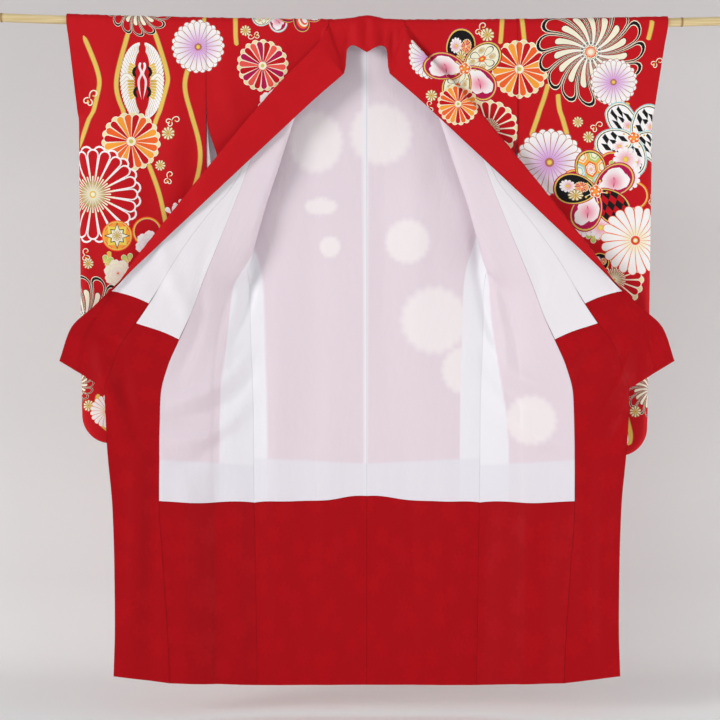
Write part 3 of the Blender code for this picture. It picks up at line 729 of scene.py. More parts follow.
def outlined_petal(root, tip, half, line, steps, rims):
    """A petal in its outline, or in several outlines one inside the other."""
    shapes = []
    for k, (rim, heart, reach) in enumerate(rims):
        inset = line * k
        fill = petal(root + 2 * inset, tip - inset, half * (0.98 - 6 * inset), steps)
        shapes.append(shape(fill, rim, heart, reach=reach))
    return shapes


def kiku(style):
    """A chrysanthemum rosette in a unit circle."""
    count, line, outline, dyes, heart, reach, scallop, centre, burst, swirl = KIKU[style]
    half = math.pi / count
    small = count <= 12
    steps = 3 if small else 6
    shapes = []
    front = 0.93 if scallop else 1.0
    if scallop:
        rims = [(outline, None, 1), (scallop, None, 1)]
        back = outlined_petal(0.62, 1.0, half, line * 1.1, steps, rims)
        for k in range(count):
            shapes += moved(back, turn=360 * (k + 0.5) / count)
        shapes.append(shape(circle(front * 0.80, count * 2), outline))
    for k in range(count):
        dye = dyes[k % len(dyes)]
        rims = [(outline, None, 1), (dye, heart if len(dyes) == 1 else dye, front * reach)]
        width = line
        if style == "cream kiku":
            rims = [("coral", None, 1), ("cream", None, 1), ("white", "butter", 0.55)]
            width = line * 0.55
        shapes += moved(outlined_petal(0.10, front, half, width, steps, rims), turn=360 * k / count)
    if burst:
        for k in range(count * 2):
            ray = petal(0.02, 0.48 if k % 2 else 0.38, half * 0.28, 2)
            shapes += moved([shape(ray, "cream", burst, reach=0.4)], turn=180 * k / count)
        shapes.append(shape(circle(0.28, 30, wave=0.12, lobes=15), burst, "cream", reach=0.3))
        for k in range(0, count * 2, 2):
            shapes += moved([shape(petal(0.03, 0.31, half * 0.16, 2), "cream")], turn=180 * k / count)
    size = 0.24 if small else 0.075
    shapes.append(shape(circle(size, 12), "gold" if centre != "gold" else "cream"))
    shapes.append(shape(circle(size * 0.6, 8), centre))
    return swirled(shapes, swirl) if swirl else shapes


def swirling_kiku(count=15, swirl=0.55):
    """A chrysanthemum of long swirling petals, outlined in black, with a cream brush in its middle."""
    half = math.pi / count
    shapes = []
    petals = [shape(petal(0.10, 1.0, half * 0.98, 7), "cream"),
              shape(petal(0.14, 0.986, half * 0.92, 7), "black"),
              shape(petal(0.18, 0.935, half * 0.78, 7), "cream"),
              shape(petal(0.20, 0.922, half * 0.72, 7), "red")]
    brush = [shape(petal(0.12, 0.68, half * 0.56, 4), "black"),
             shape(petal(0.13, 0.668, half * 0.46, 4), "cream", "white", reach=0.5)]
    for ring in (petals, brush):
        for k in range(count):
            shapes += moved(ring, turn=360 * k / count)
    shapes.append(shape(circle(0.12, 16, wave=0.3, lobes=8), "orange", "cream", reach=0.12))
    shapes.append(shape(circle(0.05, 8), "cream"))
    return swirled(shapes, swirl)


def dots(count, radius, size, dye):
    """A ring of dots, such as stamens."""
    turns = [2 * math.pi * k / count for k in range(count)]
    return [shape(circle(size, 6, (math.sin(a) * radius, math.cos(a) * radius)), dye) for a in turns]


def held(points, radius):
    """The points, with those outside a circle about the origin drawn in to it."""
    return points / np.maximum(np.hypot(*points.T) / radius, 1)[:, None]


def arrow_feathers(radius):
    """Columns of slanting black blocks, the arrow-feather pattern, within a circle."""
    shapes = []
    w, h = radius * 0.28, radius * 0.62
    for i in range(-4, 5):
        lean = h * (0.22 if i % 2 else -0.22)
        for j in range(-4, 5):
            x, y = i * w, j * h
            block = np.array([(x - w / 2, y - lean - h / 2), (x + w / 2, y + lean - h / 2),
                              (x + w / 2, y + lean + h / 2), (x - w / 2, y - lean + h / 2)])
            if (i + j) % 2 == 0 and math.hypot(x, y) < radius * 0.95:
                shapes.append(shape(held(block, radius * 0.98), "black"))
    return shapes


def within(part, radius):
    """The shape, with its edge held inside a circle about the origin."""
    return dict(part, points=held(short_edged(part["points"], radius / 6), radius))


def petal_pattern(kind, radius):
    """What fills a round plum petal of that radius about the origin."""
    shapes = []
    if kind == "feathers":
        shapes.append(shape(circle(radius, 24), "white"))
        shapes += arrow_feathers(radius * 0.97)
        shapes += moved(MOTIFS["pink blossom"], (0.1 * radius, -0.42 * radius), radius * 0.44)
    elif kind == "check":
        shapes.append(shape(circle(radius, 24), "red"))
        w, h = radius * 0.26, radius * 0.36
        for i in range(-2, 3):
            for j in range(-2, 3):
                x, y = 2 * w * i, 2 * h * j
                diamond = shape([(x - w, y), (x, y - h), (x + w, y), (x, y + h)], "black")
                if math.hypot(x, y) < radius * 1.1:
                    shapes.append(within(diamond, radius))
    elif kind == "tortoise":
        shapes.append(shape(circle(radius, 24), "gold"))
        turns = np.radians(np.arange(6) * 60 + 30)
        rows = ((0, 0.10, "orange"), (-0.86, 0.10, "sky"), (0.86, 0.10, "apricot"), (-0.43, -0.66, "leaf"),
                (0.43, -0.66, "sky"), (-0.43, 0.86, "apricot"), (0.43, 0.86, "leaf"))
        for x, y, dye in rows:
            for share, tone in ((0.47, dye), (0.36, "cream"), (0.29, dye), (0.20, "cream")):
                hexagon = np.stack([np.cos(turns), np.sin(turns)], axis=1) * share * radius
                shapes.append(within(shape(hexagon + (x * radius, y * radius), tone), radius))
        shapes += moved(MOTIFS["pink blossom"], (0, 0.10 * radius), radius * 0.26)
    elif kind == "night":
        shapes.append(shape(circle(radius, 24), "black"))
        for x, y, size, style in ((-0.35, 0.28, 0.46, "pink blossom"), (0.40, 0.10, 0.42, "orange kiku"),
                                  (-0.08, -0.46, 0.44, "gold flower")):
            shapes += moved(MOTIFS[style], (x * radius, y * radius), size * radius)
    elif kind == "circles":
        shapes.append(shape(circle(radius, 24), "cream"))
        lens = petal(0.05, 0.94, 0.36, 5) * radius
        lenses = [shape(lens, "black"), shape(lens * 0.86 + (0, 0.07 * radius), "cream")]
        for turn in (45, 135, 225, 315):
            shapes += moved(lenses, turn=turn)
        for x, y in ((0, 0.62), (0.62, 0), (0, -0.62), (-0.62, 0)):
            shapes += moved(MOTIFS["gold flower"], (x * radius, y * radius), radius * 0.22)
        shapes += [shape(circle(radius * 0.26, 15, wave=0.3, lobes=5), "orange"),
                   shape(circle(radius * 0.09, 8), "yellow")]
    elif kind == "blush":
        shapes.append(shape(circle(radius, 24), "crimson"))
        for x, y, size in ((0, 0.22, 0.70), (-0.34, -0.18, 0.58), (0.34, -0.18, 0.58)):
            ruffle = circle(radius * size, 20, (x * radius, y * radius), 0.10, 7)
            shapes.append(shape(ruffle, "white", "pink", (0, -0.1 * radius), radius * 0.9))
        line = [(-0.05 * radius, -0.5 * radius), (0.04 * radius, 0), (0, 0.3 * radius)]
        stroke = ribbon(line, radius * 0.14, (0.3, 0.3), 8)
        shapes.append(shape(stroke, "crimson", "pink", reach=radius * 0.5))
    elif kind == "arch":
        rows = ((1.0, "crimson"), (0.84, "orange"), (0.68, "cream"), (0.52, "coral"), (0.36, "white"))
        for share, dye in rows:
            shapes.append(shape(circle(radius * share, 20, (0, -radius * (1 - share) * 0.9)), dye))
    return shapes


PLUM_PETAL = (0.44, 0.415, 0.385, 0.365)  # radii of a petal's edge, ring, inner line and pattern


def plum(kinds, ring="gold", edge="crimson"):
    """A plum blossom of five rounded petals, each with its own pattern."""
    shapes = []
    *radii, pattern_radius = PLUM_PETAL
    for k, kind in enumerate(kinds):
        turn = -72 * k
        dyes = (edge, ring, edge if kind == "blush" else "black")
        rings = [shape(circle(radius, 28), dye) for radius, dye in zip(radii, dyes)]
        for part in rings + moved(petal_pattern(kind, pattern_radius), turn=-turn):
            x, y = held(part["points"], radii[0]).T
            rounded = np.stack([x * (0.86 + 0.36 * y), y * 1.2 + 0.5], axis=1)
            shapes += moved([dict(part, points=rounded, centre=part["centre"] + (0, 0.5))], turn=turn)
    for k in range(5):
        stem = ribbon([(0, 0.12), (0.01, 0.26)], 0.018, (0, 0), 4)
        shapes += moved([shape(stem, "cream"), shape(circle(0.03, 6, (0, 0.27)), "gold")], turn=72 * k + 36)
    shapes += [shape(circle(0.17, 20, wave=0.25, lobes=5), "cream"),
               shape(circle(0.15, 20, wave=0.25, lobes=5), "orange", "apricot", reach=0.12)]
    shapes += dots(5, 0.085, 0.028, "cream")
    return shapes


def peony(rim="white", heart="lilac"):
    """A full blown peony: ruffled petals shaded into each other."""
    shapes = []
    for count, radius, size, offset in ((7, 0.60, 0.42, 0), (6, 0.38, 0.36, 25), (4, 0.16, 0.28, 50)):
        for k in range(count):
            turn = 360 * k / count + offset
            base = circle(size, 18, (0, radius), 0.16, 7)
            shapes += moved([shape(base, "blush", heart, (0, radius * 0.3), size * 1.1),
                             shape(circle(size * 0.94, 18, (0, radius - 0.015), 0.16, 7), rim, heart,
                                   (0, radius * 0.2), size * 1.25)], turn=turn)
    shapes += dots(7, 0.10, 0.030, "gold")
    shapes.append(shape(circle(0.07, 8), "orange"))
    return shapes


def leaves():
    """Three rounded leaves with a pale vein."""
    shapes = []
    leaf = [shape(petal(0.1, 1.0, 0.42, 6), "cream"),
            shape(petal(0.14, 0.95, 0.38, 6), "leaf", "yellow", reach=0.9),
            shape([(-0.012, 0.15), (0.012, 0.15), (0.0, 0.85)], "cream")]
    for turn, size in ((-55, 0.9), (0, 1.0), (50, 0.85)):
        shapes += moved(leaf, size=size, turn=turn)
    return shapes


def roundel():
    """A joined-circle roundel with a four-pointed star."""
    rings = ((1.0, "orange"), (0.94, "gold"), (0.88, "yellow"))
    shapes = [shape(circle(radius, 36), dye) for radius, dye in rings]
    lens = np.array([(-0.62, 0.62), (-0.35, 0.80), (0, 0.86), (0.35, 0.80), (0.62, 0.62), (0.3, 0.60),
                     (0, 0.56), (-0.3, 0.60)])
    lenses = [shape(lens, "coral"), shape(lens * (0.8, 0.94) + (0, 0.04), "apricot")]
    for turn in (0, 90, 180, 270):
        shapes += moved(lenses, turn=turn)
    star = np.array([(0, 0.86), (0.16, 0.40), (0.44, 0.44), (0.40, 0.16)])
    full = np.vstack([star @ np.array(((math.cos(a), -math.sin(a)), (math.sin(a), math.cos(a))))
                      for a in np.radians((0, 90, 180, 270))])
    order = np.argsort(np.arctan2(full[:, 1], full[:, 0]))
    shapes += [shape(full[order], "black"), shape(full[order] * 0.86, "cream")]
    shapes += moved(kiku("gold flower"), size=0.34)
    return shapes


def crane():
    """One crane with raised wings, in profile: half of a lozenge with its neck in the hollow middle."""
    shapes = []
    for end in (1, -1):
        for k in range(15):
            tip = math.pi / 2 * (k + 0.4) / 14.6
            foot = min(tip + 0.42, math.pi / 2)
            line = [(-0.06 - 0.15 * math.sin(foot), end * 0.78 * math.cos(foot)),
                    (-0.05 - 0.36 * math.sin(tip + 0.2), end * 0.92 * math.cos(tip + 0.2)),
                    (-0.04 - 0.54 * math.sin(tip), end * math.cos(tip))]
            shapes.append(shape(ribbon(line, 0.105, (0.1, 0.2), 8), "old gold"))
            shapes.append(shape(ribbon(line, 0.086, (0.1, 0.2), 8), "white", "cream", (-0.1, 0), 0.5))
        for k in range(7):
            tip = 0.95 + 0.62 * k / 6
            line = [(-0.10 - 0.09 * math.sin(tip), end * 0.62 * math.cos(tip)),
                    (-0.06 - 0.34 * math.sin(tip), end * 0.80 * math.cos(tip))]
            shapes.append(shape(ribbon(line, 0.085, (0.1, 0.2), 6), "cream"))
            shapes.append(shape(ribbon(line, 0.066, (0.1, 0.2), 6), "gold", "old gold", (-0.1, 0), 0.4))
    shapes.append(shape(ribbon([(-0.12, 0.42), (-0.22, 0.24), (-0.15, 0.08)], 0.080), "black"))
    shapes.append(shape(ribbon([(-0.11, -0.12), (-0.20, -0.28), (-0.12, -0.46)], 0.080), "black"))
    neck = [(-0.03, 0.52), (-0.07, 0.38), (-0.02, 0.20), (-0.09, 0.02), (-0.08, -0.20), (-0.02, -0.48)]
    shapes.append(shape(ribbon(neck, 0.058, (0.1, 0.3)), "white", "blush", (-0.05, 0), 0.5))
    shapes.append(shape(circle(0.026, 6, (-0.035, 0.50)), "crimson"))
    return shapes


def crane_pair():
    """Two cranes that face each other in a lozenge of wings."""
    one = crane()
    other = [dict(part, points=part["points"] * (-1, 1), centre=part["centre"] * (-1, 1)) for part in one]
    return one + other


def tendril(start, heading, length, curl):
    """A stroke that coils tighter and tighter towards its tip."""
    points = [np.array(start, float)]
    for k in range(18):
        turn = math.radians(heading) + curl * (k / 18) ** 1.6
        points.append(points[-1] + np.array((math.cos(turn), math.sin(turn))) * length / 18)
    return points


def sprig():
    """A small scroll of coiling tendrils."""
    shapes = []
    for start, heading, length, curl in (((0, -0.3), 80, 2.3, -5.6), ((0, -0.2), 150, 1.6, 5.4),
                                         ((0, -0.3), -60, 1.5, -5.2)):
        line = tendril(start, heading, length, curl)
        shapes.append(shape(ribbon(line, 0.13, (0.15, 0.1), 26), "cream"))
        shapes.append(shape(circle(0.10, 8, line[-1]), "gold"))
    return shapes


def tips():
    """The two pointed petals of a flower that the fold hides."""
    tip = [shape(petal(0.1, 1.0, 0.36, 5), "white", "blush", reach=0.8)]
    return moved(tip, turn=-28) + moved(tip, turn=34)


MOTIFS = {style: kiku(style) for style in KIKU}
MOTIFS |= {
    "black kiku": swirling_kiku(),
    "patterned plum": plum(("tortoise", "blush", "check", "blush", "night")),
    "top plum": plum(("tortoise", "arch", "arch", "blush", "circles"), "cream", "sky"),
    "chest plum": plum(("night", "circles", "blush", "circles", "blush")),
    "feather plum": plum(("feathers",) * 5, "cream", "sky"),
    "arch plum": plum(("arch", "blush", "arch", "blush", "arch")),
    "lilac peony": peony(),
    "cream peony": peony("cream", "blush"),
    "leaves": leaves(),
    "roundel": roundel(),
    "crane pair": crane_pair(),
    "sprig": sprig(),
    "tips": tips(),
}
print({name: len(parts) for name, parts in MOTIFS.items()})

# %% [markdown]
# ## Where the motifs lie
# The layout is a table: the motif, the cloths that carry it, where its middle is seen (x across and
# drop below the pole, in centimetres), its radius and its turn in degrees. Later rows lie over
# earlier ones. On the real garment the design runs on across the seams, so a motif is given to every
# panel that it touches, and each panel keeps its own share.

# %% Layout of the side that is seen
SEEN = (  # motif, cloths (s sleeve, b body, c collar), x, drop, radius, turn
    ("black kiku", "s", -53.3, -2.8, 7.8, 6),
    ("crane pair", "s", -52.6, 14.6, 9.0, 0),
    ("lilac kiku", "sb", -39.5, 6.6, 6.3, 3),
    ("orange kiku", "s", -55.2, 28.7, 7.0, 8),
    ("sprig", "s", -65.1, 18.1, 2.1, 20),
    ("sprig", "s", -45.6, 23.5, 1.7, -10),
    ("gold flower", "s", -46.5, 26.8, 1.6, 0),
    ("gold flower", "s", -48.4, 34.3, 1.3, 12),
    ("sprig", "s", -46.8, 37.1, 1.6, 40),
    ("line kiku", "s", -64.2, 41.1, 11.5, 0),
    ("ring petal", "s", -51.5, 49.8, 3.5, 0),
    ("tips", "s", -45.6, 45.8, 2.2, 10),
    ("tips", "s", -43.6, 44.2, 2.0, 30),
    ("lilac peony", "s", -50.9, 52.9, 3.4, 0),
    ("leaves", "s", -61.6, 57.4, 2.6, -60),
    ("leaves", "s", -55.6, 57.0, 2.4, 50),
    ("cream peony", "s", -58.3, 59.6, 3.4, 20),
    ("roundel", "s", -58.5, 50.8, 3.6, 0),
    ("gold flower", "s", -65.3, 57.3, 1.3, 0),
    ("sprig", "s", -66.3, 55.2, 1.5, 60),
    ("black kiku", "s", -66.3, 70.5, 10.6, 0),
    ("black kiku", "s", -68.4, 85.2, 5.0, 0),
    ("gold flower", "s", -65.2, 90.6, 1.4, 0),
    ("cream kiku", "s", -60.9, 92.0, 4.0, 0),
    ("top plum", "b", -21.6, -1.6, 5.8, 40),
    ("arch plum", "b", -15.6, -1.4, 5.2, 100),
    ("gold flower", "b", -28.4, 2.8, 1.3, 0),
    ("sprig", "b", -26.4, 4.4, 1.4, 160),
    ("lilac peony", "b", -21.4, 20.4, 4.2, 0),
    ("crimson kiku", "b", -24.4, 11.0, 6.1, 5),
    ("gold flower", "b", 28.2, 3.8, 1.7, 0),
    ("sprig", "b", 26.3, 2.2, 1.7, 30),
    ("fan kiku", "b", 28.4, 26.0, 7.2, 4),
    ("orange kiku", "sb", 35.7, 11.8, 6.9, 0),
    ("lilac kiku", "c", 14.3, 9.9, 4.7, 0),
    ("chest plum", "bc", 22.9, 11.8, 9.2, 12),
    ("orange kiku", "bc", 21.2, 20.4, 4.9, 9),
    ("gold flower", "c", 15.0, 18.4, 1.4, 0),
    ("sprig", "c", 14.2, 21.0, 1.4, 60),
    ("black kiku", "s", 52.4, 7.8, 12.9, 4),
    ("lilac kiku", "s", 57.8, 14.8, 5.6, 0),
    ("lilac kiku", "s", 42.8, 33.6, 8.0, 5),
    ("gold flower", "s", 49.4, 24.2, 1.3, 0),
    ("gold flower", "s", 51.9, 27.7, 1.4, 20),
    ("sprig", "s", 53.6, 24.8, 1.6, 0),
    ("sprig", "s", 67.7, 9.9, 1.5, 0),
    ("sprig", "s", 66.5, 42.0, 1.6, 30),
    ("feather plum", "s", 62.5, 27.9, 9.2, 32),
    ("ring petal", "s", 57.4, 34.2, 3.2, 0),
    ("ring petal", "s", 48.6, 38.4, 3.2, 0),
    ("ring petal", "s", 62.6, 41.4, 3.4, 0),
    ("leaves", "s", 57.9, 35.2, 2.2, 20),
    ("pink blossom", "s", 60.6, 32.9, 3.0, 0),
    ("pink blossom", "s", 61.1, 37.3, 3.0, 14),
    ("pink blossom", "s", 57.2, 36.6, 2.6, 5),
    ("leaves", "s", 53.2, 50.2, 2.4, 175),
    ("pink blossom", "s", 50.8, 48.2, 3.0, 0),
    ("pink blossom", "s", 54.8, 48.9, 2.9, 9),
    ("pink blossom", "s", 52.2, 45.6, 2.6, 20),
    ("patterned plum", "s", 53.6, 40.4, 9.8, 12),
    ("fan kiku", "s", 58.0, 61.1, 7.0, 0),
    ("night disc", "s", 54.6, 57.0, 2.2, 0),
    ("cream kiku", "s", 62.9, 51.9, 8.2, 6),
    ("black kiku", "s", 66.6, 87.0, 6.4, 0),
    ("gold flower", "s", 63.0, 92.0, 1.4, 0),
    ("crane pair", "s", 58.0, 97.0, 5.0, 30),
)
SEEN_BANDS = (  # cloths, then the band's points, x and drop
    ("s", (-66.3, 4.0), (-62.7, 13.2), (-63.2, 18.3), (-66.3, 30.0)),
    ("s", (-55.7, 2.5), (-58.4, 12.6), (-58.5, 17.6), (-56.6, 22.5)),
    ("s", (-49.9, 2.5), (-46.7, 12.6), (-47.0, 16.5), (-49.8, 25.6)),
    ("sb", (-37.9, -2.0), (-38.6, 3.0), (-42.5, 12.9), (-42.9, 17.6), (-38.8, 28.4), (-38.8, 34.0),
     (-40.9, 41.5)),
    ("s", (-51.2, 33.8), (-48.6, 41.0), (-46.8, 49.4)),
    ("s", (-60.4, 54.4), (-60.2, 61.0)),
    ("s", (-63.2, 87.9), (-63.6, 92.8), (-60.0, 98.2)),
    ("b", (-30.8, -3.0), (-30.7, 6.4)),
    ("b", (31.9, -3.0), (31.3, 6.0)),
    ("sb", (36.0, -3.0), (37.1, 7.0)),
    ("s", (42.4, 15.0), (41.2, 19.5), (38.2, 27.6)),
    ("s", (44.2, 17.5), (45.0, 21.0), (47.4, 27.4)),
    ("s", (67.0, 0.4), (65.9, 5.0)),
    ("s", (61.0, 19.6), (60.4, 22.6)),
    ("s", (55.7, 26.4), (53.4, 31.0)),
    ("s", (60.5, 91.3), (62.6, 100.0)),
)

# %% [markdown]
# The sides away from the viewer carry the same kinds of motif in an order of their own: loose at
# the shoulders, scarce at the waist, where a sash covers the cloth, and close together at the hem.

# %% Layout of the hidden sides
AWAY = (
    ("line kiku", "b", 3.3, 26.6, 7.5, 0),
    ("orange kiku", "b", -13.0, 29.0, 8.2, 5),
    ("chest plum", "b", -24.0, 12.0, 8.4, 20),
    ("lilac kiku", "b", 14.5, 9.0, 6.2, 0),
    ("crimson kiku", "b", 26.5, 19.0, 6.4, 7),
    ("gold flower", "b", -3.0, 12.0, 1.8, 0),
    ("sprig", "b", -6.5, 9.5, 2.0, 0),
    ("roundel", "b", -27.0, 26.0, 3.8, 0),
    ("gold flower", "b", 20.0, 34.0, 1.8, 10),
    ("cream kiku", "b", 9.6, 51.9, 5.4, 0),
    ("gold flower", "b", -8.7, 53.1, 2.4, 0),
    ("sprig", "b", -10.8, 43.7, 2.4, 0),
    ("lilac kiku", "b", -20.0, 62.0, 5.6, 0),
    ("fan kiku", "b", 16.0, 70.5, 8.2, 0),
    ("patterned plum", "b", -14.0, 79.0, 8.6, 0),
    ("orange kiku", "b", 21.0, 84.0, 6.4, 0),
    ("black kiku", "b", -17.0, 98.0, 11.0, 0),
    ("feather plum", "b", 6.5, 93.0, 8.6, 14),
    ("crane pair", "b", 19.0, 104.0, 9.5, 25),
    ("cream peony", "b", -3.0, 107.0, 5.6, 0),
    ("leaves", "b", -8.5, 111.0, 3.2, 120),
    ("lilac kiku", "b", 4.0, 116.0, 7.0, 0),
    ("cream kiku", "b", 16.5, 122.0, 8.6, 0),
    ("line kiku", "b", -14.0, 124.0, 11.0, 0),
    ("chest plum", "b", 1.5, 135.0, 9.6, 30),
    ("black kiku", "b", 16.5, 143.0, 11.5, 0),
    ("orange kiku", "b", -18.0, 145.0, 8.8, 0),
    ("pink blossom", "b", -6.0, 146.0, 4.2, 0),
    ("pink blossom", "b", -2.0, 151.0, 3.8, 9),
    ("roundel", "b", 5.0, 150.0, 4.2, 0),
    ("orange kiku", "s", 46.0, 12.0, 7.4, 0),
    ("sprig", "s", 56.0, 8.0, 2.0, 0),
    ("lilac kiku", "s", 61.0, 20.0, 7.0, 0),
    ("gold flower", "s", 52.0, 24.0, 1.8, 0),
    ("chest plum", "s", 47.0, 36.0, 8.4, 10),
    ("line kiku", "s", 61.0, 44.0, 9.4, 0),
    ("cream kiku", "s", 45.0, 55.0, 7.4, 0),
    ("black kiku", "s", 58.0, 65.0, 10.4, 0),
    ("lilac peony", "s", 43.0, 68.0, 4.8, 0),
    ("feather plum", "s", 47.0, 80.0, 8.2, 0),
    ("orange kiku", "s", 61.0, 84.0, 7.6, 0),
    ("roundel", "s", 51.5, 92.0, 4.0, 0),
    ("pink blossom", "s", 42.0, 94.0, 4.2, 0),
    ("crimson kiku", "s", -46.0, 9.0, 6.6, 0),
    ("lilac kiku", "s", -60.0, 14.0, 7.8, 0),
    ("roundel", "s", -50.0, 22.0, 3.8, 0),
    ("black kiku", "s", -59.0, 36.0, 10.6, 0),
    ("patterned plum", "s", -45.0, 42.0, 8.2, 0),
    ("gold flower", "s", -50.0, 52.0, 1.8, 0),
    ("orange kiku", "s", -60.0, 56.0, 6.8, 0),
    ("fan kiku", "s", -46.0, 63.0, 8.0, 0),
    ("cream peony", "s", -61.0, 70.0, 5.2, 0),
    ("line kiku", "s", -50.0, 82.0, 9.6, 0),
    ("pink blossom", "s", -62.0, 86.0, 4.2, 0),
    ("chest plum", "s", -60.0, 94.0, 6.8, 0),
)
AWAY_BANDS = (
    ("b", (-33.0, 2.0), (-30.0, 12.0), (-33.0, 24.0), (-30.0, 36.0)),
    ("b", (-5.0, 60.0), (-9.0, 72.0), (-5.0, 84.0), (-8.0, 96.0)),
    ("b", (2.0, 60.0), (5.0, 72.0), (2.0, 84.0)),
    ("b", (31.0, 2.0), (33.0, 14.0), (30.0, 28.0), (32.0, 40.0)),
    ("b", (-24.0, 108.0), (-21.0, 120.0), (-24.0, 132.0)),
    ("b", (8.0, 104.0), (10.0, 114.0), (7.0, 126.0)),
    ("s", (54.0, 2.0), (57.0, 14.0), (54.0, 28.0), (56.0, 38.0)),
    ("s", (41.0, 16.0), (44.0, 30.0), (41.0, 46.0)),
    ("s", (51.0, 46.0), (53.0, 60.0), (50.0, 74.0)),
    ("s", (-53.0, 2.0), (-56.0, 14.0), (-53.0, 28.0)),
    ("s", (-41.0, 18.0), (-43.0, 30.0), (-41.0, 40.0)),
    ("s", (-56.0, 62.0), (-54.0, 74.0), (-57.0, 88.0)),
)
UNDER = (  # motif, sheet, s and t on the flat cloth (cm), radius, turn: the drawn-back lower fronts
    ("lilac kiku", "front", 12.0, 72.0, 6.4, 0),
    ("orange kiku", "front", 7.0, 90.0, 7.0, 0),
    ("gold flower", "front", 18.0, 84.0, 1.8, 0),
    ("feather plum", "front", 16.0, 102.0, 8.0, 0),
    ("black kiku", "front", 8.0, 122.0, 9.6, 0),
    ("cream kiku", "front", 18.0, 136.0, 7.4, 0),
    ("chest plum", "front", 7.0, 148.0, 8.2, 0),
    ("gold flower", "okumi", 6.0, 30.0, 1.8, 0),
    ("cream peony", "okumi", 6.0, 52.0, 4.8, 0),
    ("line kiku", "okumi", 4.0, 78.0, 8.4, 0),
    ("orange kiku", "okumi", 8.0, 100.0, 6.2, 0),
    ("patterned plum", "okumi", 5.0, 122.0, 7.6, 0),
)
MOTIFS["ring petal"] = [shape(circle(1.0, 28), "orange"), shape(circle(0.93, 28), "gold"),
                        shape(circle(0.84, 28), "crimson"), shape(circle(0.78, 28), "red")]
MOTIFS["night disc"] = [shape(circle(1.0, 24), "gold")] + petal_pattern("night", 0.9)
print(len(SEEN) + len(AWAY) + len(UNDER), "motifs and", len(SEEN_BANDS) + len(AWAY_BANDS), "bands")

# %% [markdown]
# To lay a motif, its outlines are carried from the front view to the flat cloth by the nearest
# spot of the sheet that faces the right way. A band is drawn with an outline of old gold.

# %% Laying motifs on flat cloth
CLOTHS = {"sleeve": "s", "front": "b", "okumi": "b", "back": "b", "collar": "c"}
BAND_WIDTH = 1.15  # centimetres
BAND_SOFTENING = 24  # rounds of evening out its bends


def band(points):
    """A gold band through points, about its own middle, and where that lies."""
    line = np.array(points, float) * (1, -1)
    middle = line.mean(axis=0)
    parts = []
    for width, dye in ((BAND_WIDTH, "old gold"), (BAND_WIDTH * 0.76, "gold")):
        outline = ribbon(line - middle, width, (0.04, 0.04), 40, BAND_SOFTENING)
        parts.append(shape(outline, dye))
    return parts, middle * (1, -1)


def lay(parts, sheet, x, drop, radius, turn, towards_viewer, flip=1):
    """The motif's shapes on the sheet's flat cloth, in metres, or none if it lies elsewhere."""
    start, steps, gap = sheet.flat_at(x, drop, towards_viewer)
    if gap > (radius + 0.5) * CM:
        return []
    scale = 1 / math.sqrt(abs(np.linalg.det(steps)))
    laid = []
    for part in moved(parts, size=radius * CM, turn=turn):
        points = (part["points"] * (1, flip)) @ steps.T + start
        low, high = points.min(axis=0), points.max(axis=0)
        if high[0] > 0 and high[1] > 0 and low[0] < sheet.width and low[1] < sheet.length:
            centre = (part["centre"] * (1, flip)) @ steps.T + start
            laid.append(dict(part, points=points, centre=centre, reach=part["reach"] / scale))
    return laid


def reach_of(points, middle):
    """How far the furthest of the points lies from the middle."""
    return float(np.max(np.hypot(*(np.array(points) - middle).T)))


def prints_for(name, sheet):
    """Every shape printed on that sheet, in its order of laying."""
    kind = CLOTHS[name.split("_")[0]]
    behind = name.startswith(("back", "sleeve_back"))
    towards = not behind
    bands, rows = (AWAY_BANDS, AWAY) if behind else (SEEN_BANDS, SEEN)
    laid = []
    for cloths, *points in bands:
        parts, middle = band(points)
        near = sheet.flat_at(*middle, towards)[2] / CM
        if kind in cloths and near < reach_of(points, middle) + 1:
            laid += lay(parts, sheet, *middle, 1.0, 0, towards)
    for motif, cloths, x, drop, radius, turn in rows:
        if kind in cloths:
            laid += lay(MOTIFS[motif], sheet, x, drop, radius, turn, towards)
    if behind:
        for motif, cloths, x, drop, radius, turn in SEEN:
            if kind in cloths and drop < radius:
                laid += lay(MOTIFS[motif], sheet, x, -drop, radius, turn, False, flip=-1)
    for motif, where, s, t, radius, turn in UNDER:
        if name.startswith(where):
            spot = np.array((s, t)) * CM
            for part in moved(MOTIFS[motif], size=radius * CM, turn=turn):
                points, centre = (part[key] * (1, -1) + spot for key in ("points", "centre"))
                laid.append(dict(part, points=points, centre=centre))
    return laid


# %% [markdown]
# The flat cloth is cut into triangles that follow the outlines, and each triangle takes the dye of
# the topmost shape over it. The same triangles are then hung in space by the sheet.

# %% Cutting and hanging printed cloth
STEP_DOWN = 0.010  # metres between the plain cloth's points down the length
STEP_ACROSS = 0.008  # and across it
CLOSE_STEP_ACROSS = 0.004  # on the folded panels


def covered(outline, spots):
    """Which spots lie inside a closed outline, by its winding number."""
    turns = np.zeros(len(spots), int)
    for (x0, y0), (x1, y1) in zip(outline, np.roll(outline, -1, axis=0)):
        side = (x1 - x0) * (spots[:, 1] - y0) - (spots[:, 0] - x0) * (y1 - y0)
        turns += ((y0 <= spots[:, 1]) & (y1 > spots[:, 1]) & (side > 0)).astype(int)
        turns -= ((y0 > spots[:, 1]) & (y1 <= spots[:, 1]) & (side < 0)).astype(int)
    return turns != 0


